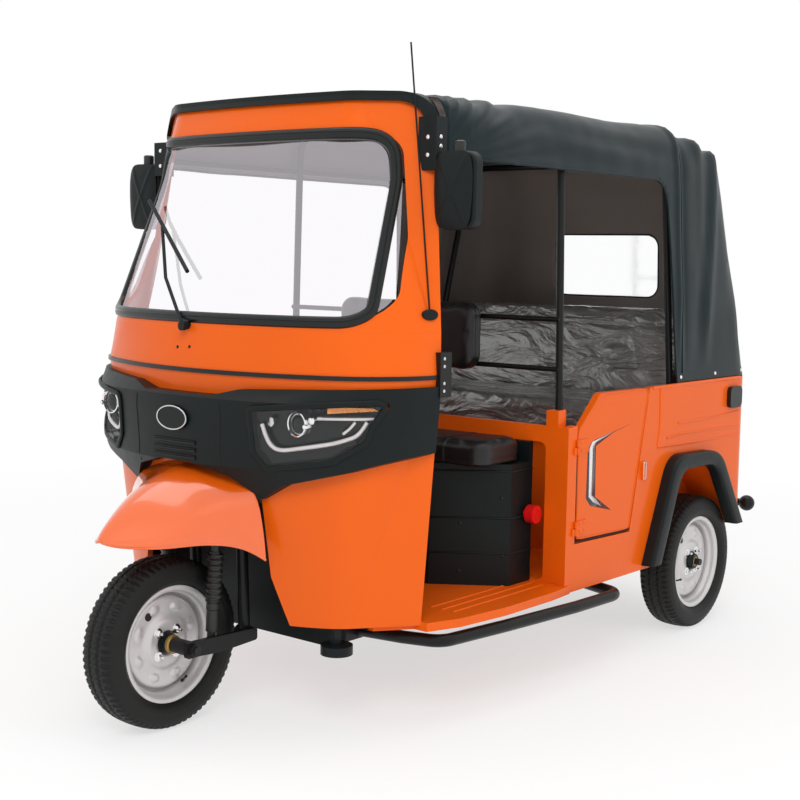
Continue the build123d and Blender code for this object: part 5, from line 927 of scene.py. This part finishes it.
# thin near-black lines paint the shade along the panel's pressed creases
tube("nose_crease_shade", creases, 0.0012, SHADE_GAP)
badge_tree = tree_of("badge", "lamp_panel")
ring = []
for k in range(72):
    turn = FULL_TURN * k / 72
    ring.append(from_front(badge_tree, 0.0595 * math.cos(turn), 0.867 + 0.0325 * math.sin(turn), 0.001)[0])
tube("badge_ring", [ring], 0.0022, STEEL, closed=True)
screws = [dome_form(*from_front(upper_tree, x, z), 0.0048) for x, z in ((-0.046, 1.058), (0.004, 1.061))]
piece("cowl_screws", joined(screws), GLOSS_BLACK, sharp=40)


# ---------------------------------------------------------------- seats
# how far a cushion may swell beyond its CAD box on the low sides and on the high ones
ROOM_BELOW, ROOM_ABOVE = (0.003, 0.003, 0.0), 0.004


def stuffed(source, name, look, voxel, cap, pinch):
    """A cushion blown up from its CAD solid by cloth pressure, with no point moved by more than cap."""
    low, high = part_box(source)
    middle, half = (low + high) / 2, (high - low) / 2
    made = piece(name, mesh_form(nodes[source].data), look)
    for v in made.data.vertices:
        v.co = middle + Vector([(v.co[k] - middle[k]) * (half[k] - pinch) / half[k] for k in range(3)])
    modified(made, "WELD", merge_threshold=0.0001)
    modified(made, "REMESH", mode="VOXEL", voxel_size=voxel)
    start = [v.co.copy() for v in made.data.vertices]
    cloth = made.modifiers.new("cloth", "CLOTH")
    cloth.settings.use_pressure = True
    cloth.settings.uniform_pressure_force = 4.0
    cloth.settings.effector_weights.gravity = 0.0
    cloth.settings.tension_stiffness = 12.0
    cloth.settings.compression_stiffness = 12.0
    cloth.settings.bending_stiffness = 0.5
    cloth.point_cache.frame_end = 24
    for number in range(1, 21):
        scene.frame_set(number)
    depsgraph = bpy.context.evaluated_depsgraph_get()
    blown = [v.co.copy() for v in made.evaluated_get(depsgraph).data.vertices]
    made.modifiers.remove(cloth)
    scene.frame_set(1)
    for v, first, last in zip(made.data.vertices, start, blown):
        move = last - first
        v.co = first + (move * (cap / move.length) if move.length > cap else move)
    for v in made.data.vertices:
        v.co = Vector([min(max(v.co[k], low[k] - ROOM_BELOW[k]), high[k] + ROOM_ABOVE) for k in range(3)])
    modified(made, "SMOOTH", factor=0.5, iterations=4)
    return made


def sewn(mesh, field, depth, width):
    """Sinks points near the zero of a field, as sewing does."""
    pushed(mesh, lambda p: -depth * bump(field(p), 0, width))
    mesh.shade_smooth()


def wrinkle(p):
    """Height of the long creases that the clear wrap draws towards the bench's corners."""
    slant = p.z * 9 + p.x * 3.2 + p.y * 4 + 0.9 * noise.noise(p * 5.0)
    ridge = 1 - abs(math.sin(slant * 3.1))
    fine = 1 - abs(math.sin(slant * 7.7 + 3 * noise.noise(p * 11.0)))
    strength = 0.5 + 0.5 * noise.noise(p * 3.3)
    return 0.0035 * ridge**3 * strength + 0.0018 * fine**3 * (1 - strength) - 0.0015


SUBDIVIDED_BELOW = 26000  # faces
PADS = [
    # CAD node, piece, look, voxel, cap, pinch, fill, seams as (field, depth, width)
    ("driver_cushion", "driver_seat_pad", VINYL, 0.0075, 0.01, 0.005, 0.8,
     [(lambda p: p.z - 0.712, 0.004, 0.004), (lambda p: abs(p.x) - 0.34, 0.003, 0.004)]),
    ("driver_backrest", "driver_backrest_pad", VINYL, 0.006, 0.008, 0.004, 0.8,
     [(lambda p: p.y - back(1.072), 0.003, 0.004)]),
    ("rear_seat_cushion", "rear_bench_pad", WRAPPED, 0.007, 0.01, 0.006, 0.7,
     [(lambda p: p.z - 0.745, 0.004, 0.004)]),
    ("rear_seat_back", "rear_bench_back_pad", WRAPPED, 0.01, 0.01, 0.006, 0.6,
     [(lambda p: p.z - 1.085, 0.006, 0.007)]),
]
for source, name, look, voxel, cap, pinch, fill, seams in PADS:
    pad = stuffed(source, name, look, voxel, cap, pinch)
    for seam in seams:
        sewn(pad.data, *seam)
    if len(pad.data.polygons) < SUBDIVIDED_BELOW:
        modified(pad, "SUBSURF", levels=1)
    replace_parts(pad, source)
    if look == WRAPPED:
        pushed(pad.data, wrinkle)
        pad.data.shade_smooth()

# ---------------------------------------------------------------- seat box: ridges and studs
BOX_TURN = [(0.5012, 1.084), (0.5012, 0.9695), (0.2985, 0.8222)]  # x and station of half its front outline
CORNER_STUDS = [
    (0.375, 0.8785, 0.505), (0.478, 0.9535, 0.586), (0.375, 0.8785, 0.355), (0.482, 0.9565, 0.405),
]
CORNER_OUT = Vector((0.588, -0.809, 0))
box_outline = BOX_TURN + [(-x, station) for x, station in reversed(BOX_TURN)]
for index, z in enumerate((0.668, 0.522, 0.412)):
    row = [(x, back(station), z) for x, station in box_outline]
    tube(f"seat_box_ridge_{index}", [row], 0.0028, PLASTIC)
studs = [dome_form((x, back(0.8225), z), AHEAD, 0.0055) for x in (0.22, -0.22) for z in (0.5, 0.35)]
studs += [dome_form((x, back(station), z), CORNER_OUT, 0.0055) for x, station, z in CORNER_STUDS]
piece("seat_box_studs", joined(studs), CAST, sharp=40)

# ---------------------------------------------------------------- doors, rear quarters, studs
# seen from the side, columns: station, z
STRIPE_OUTER = [
    (1.483, 0.791), (1.23, 0.753), (1.202, 0.73), (1.199, 0.572), (1.225, 0.546), (1.354, 0.516),
    (1.284, 0.555), (1.253, 0.571), (1.249, 0.735), (1.357, 0.77),
]
STRIPE_INNER = [
    (1.357, 0.772), (1.228, 0.75), (1.211, 0.732), (1.214, 0.576), (1.24, 0.556), (1.291, 0.537),
    (1.26, 0.562), (1.231, 0.58), (1.23, 0.727), (1.249, 0.747),
]
DOOR_FOLD = [
    (1.1495, 0.455), (1.1455, 0.78), (1.15, 0.796), (1.245, 0.878), (1.268, 0.893), (1.3, 0.8975),
    (1.54, 0.8975), (1.566, 0.892), (1.571, 0.875), (1.56, 0.84), (1.469, 0.447), (1.46, 0.4425),
    (1.1495, 0.4515),
]
LATCH_FRAME = [(1.5375, 0.597), (1.5375, 0.653), (1.5525, 0.653), (1.5525, 0.597)]
BOTTOM_GAP = [(1.135, 0.452), (1.14, 0.441), (1.3, 0.4385), (1.455, 0.434), (1.474, 0.438)]
FRONT_GAP = [(1.1395, z) for z in np.linspace(0.525, 0.705, 8)]
TUB_RIM = [(station, 0.8965) for station in np.linspace(1.6, 2.25, 20)]
SIDE_TUBES = [
    # name, line, distance out, radius, look, slot, on the door, closed
    ("latch_frame", LATCH_FRAME, 0.6395, 0.0022, STEEL, "steel", False, True),
    ("door_edge_fold", DOOR_FOLD, 0.6282, 0.0026, ORANGE, "body_paint", True, True),
    # the two gap tubes are near-black and paint the shade in the door's shut gaps
    ("door_bottom_gap", BOTTOM_GAP, 0.6265, 0.0026, SHADE_GAP, "frame_paint", False, False),
    ("door_front_gap", FRONT_GAP, 0.6272, 0.0028, SHADE_GAP, "frame_paint", False, False),
    ("tub_rim", TUB_RIM, 0.6265, 0.0065, ORANGE, "body_paint", False, False),
]
QUARTER_LINES = [
    [(1.64, 0.694), (1.802, 0.69), (2.026, 0.687), (2.246, 0.684)],
    [(1.705, 0.72), (1.799, 0.727), (2.023, 0.723), (2.246, 0.7145)],
    [(1.781, 0.765), (2.019, 0.764), (2.246, 0.772)],
    [(1.65, 0.892), (1.655, 0.76), (1.64, 0.7)],
]
DOOR_FACE = 0.628
HEM_STUD_Z = 0.922


def sticker(name, outline, side, out, look, body):
    """A flat foil on a door's outer face, from an outline of station and z."""
    layers = (DOOR_FACE + out, DOOR_FACE + out + 0.0002)
    points = [(side * x, back(station), z) for x in layers for station, z in outline]
    count = len(outline)
    faces = grid_faces(2, count, closed=True) + [tuple(range(count, 2 * count))]
    piece(name, (points, faces), look, body)


quarter_tree = tree_of("side_panels")
for side, hand in HANDS:
    door, outward = f"door_{hand}", X_AXIS * side
    sticker(f"door_stripe_dark_{hand}", STRIPE_OUTER, side, 0.0003, STRIPE_DARK, door)
    sticker(f"door_stripe_silver_{hand}", STRIPE_INNER, side, 0.0007, STRIPE_SILVER, door)
    for name, line, out, radius, look, slot, on_door, closed in SIDE_TUBES:
        row = [(side * out, back(station), z) for station, z in line]
        tube(f"{name}_{hand}", [row], radius, look, door if on_door else "root", closed)
    hinges = [(side * 0.632, back(s), z) for z in (0.498, 0.474, 0.754, 0.73) for s in (1.158, 1.186)]
    studs_piece(f"door_hinge_studs_{hand}", hinges, outward, 0.0045, ORANGE, door)
    # pressed lines of the rear quarter
    ribs = []
    for line in QUARTER_LINES:
        row = []
        for _, station, z in smooth_row(resampled([(0, *spot) for spot in line], 30), 6):
            place, normal = hit(quarter_tree, (side * 3, back(station), z), -outward)
            row.append(place + normal * 0.0002)
        ribs.append(smooth_row(row, 3))
    tube(f"rear_quarter_ribs_{hand}", ribs, 0.0036, ORANGE)
    grooves = [[p + Vector((-side * 0.0022, 0, -0.0048)) for p in row] for row in ribs[:3]]
    tube(f"rear_quarter_rib_grooves_{hand}", grooves, 0.0026, ORANGE)
    plate = [(side * 0.6312, back(0.452), z) for z in (1.048, 1.027, 0.981, 0.96)]
    studs_piece(f"post_plate_bolts_{hand}", plate, outward, 0.005, STEEL)
    # studs along the canopy's hem
    studs = []
    for station in (1.8, 2.055, 2.27):
        place = hit(canopy_tree, (side * 2, back(station), HEM_STUD_Z), -outward)[0]
        studs.append(dome_form(place - outward * 0.0005, outward, 0.0065))
    for x in (0.14, 0.46):
        studs.append(dome_form(hit(canopy_tree, (side * x, 3, HEM_STUD_Z), AHEAD)[0], Y_AXIS, 0.0065))
    piece(f"canopy_studs_{hand}", joined(studs), CHROME, sharp=40)

# ---------------------------------------------------------------- wheel flares
# seen from the side, columns: station, z
FLARE_OUTER = [(1.56, 0.3), (1.712, 0.662), (2.04, 0.652), (2.236, 0.362)]
FLARE_INNER = [(1.628, 0.3), (1.758, 0.606), (2.006, 0.604), (2.176, 0.362)]
FLARE_ROWS = 90
# columns: distance out from the middle plane, share of the way from the outer to the inner line
FLARE_SECTION = [
    (0.629, 0.0), (0.66, 0.0), (0.6685, 0.02), (0.6725, 0.08), (0.6738, 0.2), (0.674, 0.5),
    (0.6736, 0.8), (0.6715, 0.92), (0.667, 0.98), (0.66, 1.0), (0.629, 1.0),
]


def bent_line(line, bend):
    """Points at even distances along an open line with its inner corners rounded."""
    out = [Vector(line[0])]
    for before, corner, after in zip(line, line[1:], line[2:]):
        corner = Vector(corner)
        start, end = (corner + (Vector(way) - corner).normalized() * bend for way in (before, after))
        for t in np.linspace(0, 1, 10):
            out.append(start * (1 - t) ** 2 + corner * 2 * t * (1 - t) + end * t * t)
    return [Vector(p) for p in resampled([(0, *p) for p in out + [Vector(line[-1])]], FLARE_ROWS)]


flare_lines = list(zip(bent_line(FLARE_OUTER, 0.075), bent_line(FLARE_INNER, 0.055)))
width = len(FLARE_SECTION)
flare_faces = grid_faces(FLARE_ROWS, width)
flare_faces += [tuple(range(width)), tuple(range((FLARE_ROWS - 1) * width, FLARE_ROWS * width))]
flares = []
for side, _ in HANDS:
    points = []
    for outer, inner in flare_lines:
        for x, share in FLARE_SECTION:
            spot = outer.lerp(inner, share)
            points.append((side * x, back(spot.y), spot.z))
    flares.append((points, flare_faces))
mouldings = piece("wheel_flare_mouldings", joined(flares), PLASTIC, sharp=50)
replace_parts(mouldings, "wheel_flares")

# ---------------------------------------------------------------- floor ribs
pan_tree = tree_of("floor_pan")
ribs = []
for side, _ in HANDS:
    for inward in (0.035, 0.075, 0.115):
        row = []
        for station in np.linspace(0.6, 1.06, 24):
            place = hit(pan_tree, (side * (0.6 - inward), back(station), 0.7), -Z_AXIS)[0]
            if place is not None and place.z > 0.25:
                row.append(place + Vector((0, 0, -0.0008)))
        if len(row) > 3:
            ribs.append(row)
tube("floor_ribs", ribs, 0.0032, ORANGE)


# ---------------------------------------------------------------- piping and bindings of the canopy
def canopy_row(spots, out=0.0):
    """Points on the canopy's sheet, each found by a ray from its origin along its direction."""
    row = []
    for origin, direction in spots:
        place = hit(canopy_tree, origin, direction)[0]
        if place is not None:
            row.append(place - Vector(direction) * out)
    return row


PIPING = 1.812
arch = [((3, back(PIPING), z), -X_AXIS) for z in np.linspace(0.935, 1.66, 40)]
arch += [((x, back(PIPING), 3), -Z_AXIS) for x in np.linspace(0.575, -0.575, 90)]
arch += [((-3, back(PIPING), z), X_AXIS) for z in np.linspace(1.66, 0.935, 40)]
tube("canopy_piping", [canopy_row(arch, 0.0006)], 0.0022, CANVAS)
# the binding runs up the door opening's rear edge, round its corner and forward along the eave
edge = [(door_line(z) + 0.004, z) for z in np.linspace(0.905, 1.5, 40)]
for angle in np.linspace(0.05, math.pi / 2 - 0.02, 14):
    edge.append((1.627 + 0.089 * math.cos(angle), 1.503 + 0.089 * math.sin(angle)))
edge += [(station, 1.5925) for station in np.linspace(1.62, 0.53, 60)]
bindings = [canopy_row([((side * 3, back(s), z), (-side, 0, 0)) for s, z in edge]) for side, _ in HANDS]
tube("canopy_edge_binding", bindings, 0.0032, CANVAS)
WINDOW_EDGE = [(0.24, 1.421), (-0.24, 1.421), (-0.24, 1.176), (0.24, 1.176)]
window = [((spot.x, 3, spot.y), AHEAD) for spot in rounded_outline(WINDOW_EDGE, 0.048, 8, 0.01)]
tube("rear_window_binding", [canopy_row(window)], 0.003, CANVAS, closed=True)

# ---------------------------------------------------------------- mirrors
MIRROR_X, MIRROR_Z = 0.633, 1.5
SHELL_STATION, GLASS_STATION = 0.4712, 0.5172
SHELL_RELIEF, ARM_RELIEF, FACET_RELIEF = 0.01, 0.0035, 0.002
KNUCKLE = [(-0.021, 0.012), (-0.018, 0.0165), (0.018, 0.0165), (0.021, 0.012)]
SLEEVE = [(-0.05, 0.0115), (-0.046, 0.0135), (0.03, 0.0135), (0.034, 0.0115)]


def square_grid(count):
    """Rows of (u, v) from -1 to 1."""
    steps = [2 * i / (count - 1) - 1 for i in range(count)]
    return [(u, v) for u in steps for v in steps]


def mirror_grid(count):
    """A square grid drawn into a rounded rectangle: u, v, x, z and the share of the way to its edge."""
    for u, v in square_grid(count):
        reach = max(abs(u), abs(v))
        shrink = reach / (abs(u) ** 5 + abs(v) ** 5) ** 0.2 if reach else 0.0
        yield u, v, u * shrink, v * shrink, reach


for side, hand in HANDS:
    shell, glass = [], []
    for u, v, x, z, reach in mirror_grid(33):
        narrow = 1.0 - 0.1 * max(0.0, -z) - 0.12 * max(0.0, z - 0.4)
        arms = max(0.0, 1 - abs(abs(u) - abs(v * 0.86)) / 0.16)
        relief = ARM_RELIEF * arms - FACET_RELIEF * (abs(u) + abs(v))
        height = SHELL_RELIEF * (1 - reach**6) + relief * (1 - reach**8)
        x, z = side * MIRROR_X + x * 0.0645 * narrow, MIRROR_Z + z * 0.1045
        shell.append((x, back(SHELL_STATION) - height, z))
    piece(f"mirror_shell_{hand}", (shell, grid_faces(33, 33)), PLASTIC, sharp=26)
    for _, _, x, z, reach in mirror_grid(15):
        bulge = 0.0012 * (1 - reach**2)
        glass.append((side * MIRROR_X + x * 0.057, back(GLASS_STATION) + bulge, MIRROR_Z + z * 0.097))
    piece(f"mirror_glass_{hand}", (glass, grid_faces(15, 15)), CHROME)
    bolts = [dome_form((side * 0.5765, back(0.487), z), X_AXIS * side, 0.0062) for z in (1.645, 1.62, 1.594)]
    bolts += [dome_form((side * 0.545, back(0.4695), z), AHEAD, 0.0065) for z in (1.644, 1.596)]
    piece(f"mirror_bracket_bolts_{hand}", joined(bolts), CHROME, sharp=40)
    knuckle = turned(KNUCKLE, (side * MIRROR_X, back(0.497), 1.613), Z_AXIS, 24)
    sleeve = turned(SLEEVE, (side * 0.59, back(0.499), 1.592), X_AXIS, 24)
    piece(f"mirror_knuckle_{hand}", joined([knuckle, sleeve]), BOOT, sharp=35)


# ---------------------------------------------------------------- tail
def pillow(name, left, right, bottom, top, look):
    """A lens on the tail's face, raised in its middle."""
    points = []
    for u, v in square_grid(13):
        x, z = (left + right + u * (right - left)) / 2, (bottom + top + v * (top - bottom)) / 2
        points.append((x, lamp_high.y + 0.003 * (1 - u**6) * (1 - v**6), z))
    piece(name, (points, grid_faces(13, 13)), look, sharp=60)


lamp_low, lamp_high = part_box("tail_lamps")
LAMP_WIDE, LAMP_EDGE, BAR_HALF = 0.1, 0.006, 0.003
low, high = lamp_low.z + LAMP_EDGE, lamp_high.z - LAMP_EDGE
third = (high - low) / 3
for side, hand in HANDS:
    left, right = sorted((side * (lamp_high.x - LAMP_EDGE), side * (lamp_high.x - LAMP_WIDE + LAMP_EDGE)))
    pillow(f"tail_lamp_reverse_{hand}", left, right, low, low + third - BAR_HALF, WHITE_PLATE)
    pillow(f"tail_lamp_indicator_{hand}", left, right, high - third + BAR_HALF, high, AMBER)
    outline = rounded_outline([(left, low), (right, low), (right, high), (left, high)], 0.012, 5, 0.01)
    surround = [(p.x, lamp_high.y, p.y) for p in outline]
    tube(f"tail_lamp_frame_{hand}", [surround], 0.0035, RUBBER, closed=True)
    bars = [[(x, lamp_high.y, low + k * third) for x in (left, (left + right) / 2, right)] for k in (1, 2)]
    tube(f"tail_lamp_bars_{hand}", bars, 0.0022, RUBBER)
plate_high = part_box("number_plate")[1]
screws = [(side * 0.085, plate_high.y, plate_high.z - 0.018) for side, _ in HANDS]
studs_piece("plate_screws", screws, Y_AXIS, 0.0055, STEEL)
rear_tree = tree_of("rear_panel")
pressings = []
for z in (0.8, 0.772):
    hits = [hit(rear_tree, (x, 3, z), AHEAD)[0] for x in np.linspace(-0.46, 0.46, 40)]
    pressings.append(smooth_row([p for p in hits if p is not None and p.y > back(2.2)], 3))
tube("rear_panel_pressings", pressings, 0.0034, ORANGE)

# ---------------------------------------------------------------- floor, world, light, camera
WORLD_STRENGTH = 0.55
FADE_START, FADE_END, NEAR_SHARE = 1.2, 4.5, 0.62


def seen_rays(tree):
    """A socket that is 1 for camera, glossy and transmission rays."""
    rays = node(tree, "LightPath").outputs
    first = node(tree, "Math", {0: rays["Is Camera Ray"], 1: rays["Is Glossy Ray"]}, operation="MAXIMUM")
    both = {0: first.outputs[0], 1: rays["Is Transmission Ray"]}
    return node(tree, "Math", both, operation="MAXIMUM").outputs[0]


floor_mesh = bpy.data.meshes.new("studio_floor")
floor_steps = np.linspace(-30, 30, 13)
floor_mesh.from_pydata([(x, y, 0) for y in floor_steps for x in floor_steps], [], grid_faces(13, 13))
look, tree, shader = material("studio_floor_white")
shader.inputs["Roughness"].default_value = 0.8
speck = node(tree, "MapRange", {"Value": noise_field(tree, 3.0), "To Min": 0.93, "To Max": 0.95})
tree.links.new(speck.outputs["Result"], shader.inputs["Base Color"])
glow = node(tree, "Emission", {"Strength": 1.0})
# far out the floor is plain white; near the vehicle a share of its own shade keeps the shadow
place = node(tree, "TexCoord").outputs["Object"]
reach = node(tree, "VectorMath", {0: place}, operation="LENGTH").outputs["Value"]
fade = {"Value": reach, "From Min": FADE_START, "From Max": FADE_END, "To Min": NEAR_SHARE, "To Max": 1.0}
share = {0: node(tree, "MapRange", fade).outputs["Result"], 1: seen_rays(tree)}
share = node(tree, "Math", share, operation="MULTIPLY").outputs[0]
blend = node(tree, "MixShader", {0: share, 1: shader.outputs[0], 2: glow.outputs[0]})
tree.links.new(blend.outputs[0], tree.nodes["Material Output"].inputs["Surface"])
floor_mesh.materials.append(look)
floor = bpy.data.objects.new("studio_floor", floor_mesh)
scene.collection.objects.link(floor)

world = bpy.data.worlds.new("studio")
scene.world = world
world.use_nodes = True
sky = world.node_tree
background = sky.nodes["Background"]
background.inputs["Color"].default_value = (1, 1, 1, 1)
background.inputs["Strength"].default_value = WORLD_STRENGTH
white = node(sky, "Background", {"Color": (1, 1, 1, 1), "Strength": 1.0})
blend = node(sky, "MixShader", {0: seen_rays(sky), 1: background.outputs[0], 2: white.outputs[0]})
sky.links.new(blend.outputs[0], sky.nodes["World Output"].inputs["Surface"])

AREA_LIGHTS = [
    # name, place, target, size, energy in watts, seen in reflections
    ("key", (3.5, -5.0, 5.0), (0.0, -0.3, 0.9), 3.0, 210.0, False),
    ("fill", (-5.0, -4.0, 3.0), (0.0, 0.0, 0.9), 4.0, 60.0, False),
    ("top", (0.0, 0.5, 6.0), (0.0, 0.0, 0.9), 5.0, 120.0, True),
    ("side", (6.0, 1.0, 2.4), (0.0, 0.4, 0.9), 3.0, 70.0, False),
]
for name, place, target, size, energy, mirrored in AREA_LIGHTS:
    lamp = bpy.data.lights.new(name, "AREA")
    lamp.shape = "SQUARE"
    lamp.size = size
    lamp.energy = energy
    holder = bpy.data.objects.new(name, lamp)
    scene.collection.objects.link(holder)
    holder.visible_glossy = mirrored
    holder.location = place
    holder.rotation_euler = (Vector(target) - Vector(place)).to_track_quat("-Z", "Y").to_euler()

# the camera that was solved from the photo
CAMERA_PLACE = Vector((2.9343, -3.6444, 1.3225))
CAMERA_AZIMUTH, CAMERA_DOWN, CAMERA_ROLL = (math.radians(a) for a in (39.3518, 5.8704, 0.9581))
CAMERA_SENSOR, FOCAL_PIXELS, PHOTO_PIXELS = 36.0, 1401.1281, 800.0
level = math.cos(CAMERA_DOWN)
forward = Vector(
    (-math.sin(CAMERA_AZIMUTH) * level, math.cos(CAMERA_AZIMUTH) * level, -math.sin(CAMERA_DOWN))
)
level_right = forward.cross(Z_AXIS).normalized()
level_up = level_right.cross(forward)
right = level_right * math.cos(CAMERA_ROLL) + level_up * math.sin(CAMERA_ROLL)
up = level_up * math.cos(CAMERA_ROLL) - level_right * math.sin(CAMERA_ROLL)
camera_data = bpy.data.cameras.new("camera")
camera_data.sensor_width = CAMERA_SENSOR
camera_data.lens = CAMERA_SENSOR * FOCAL_PIXELS / PHOTO_PIXELS
camera = bpy.data.objects.new("camera", camera_data)
scene.collection.objects.link(camera)
camera.matrix_world = Matrix.Translation(CAMERA_PLACE) @ Matrix((right, up, -forward)).transposed().to_4x4()
scene.camera = camera
scene.view_settings.view_transform = "Standard"

bpy.context.view_layer.update()
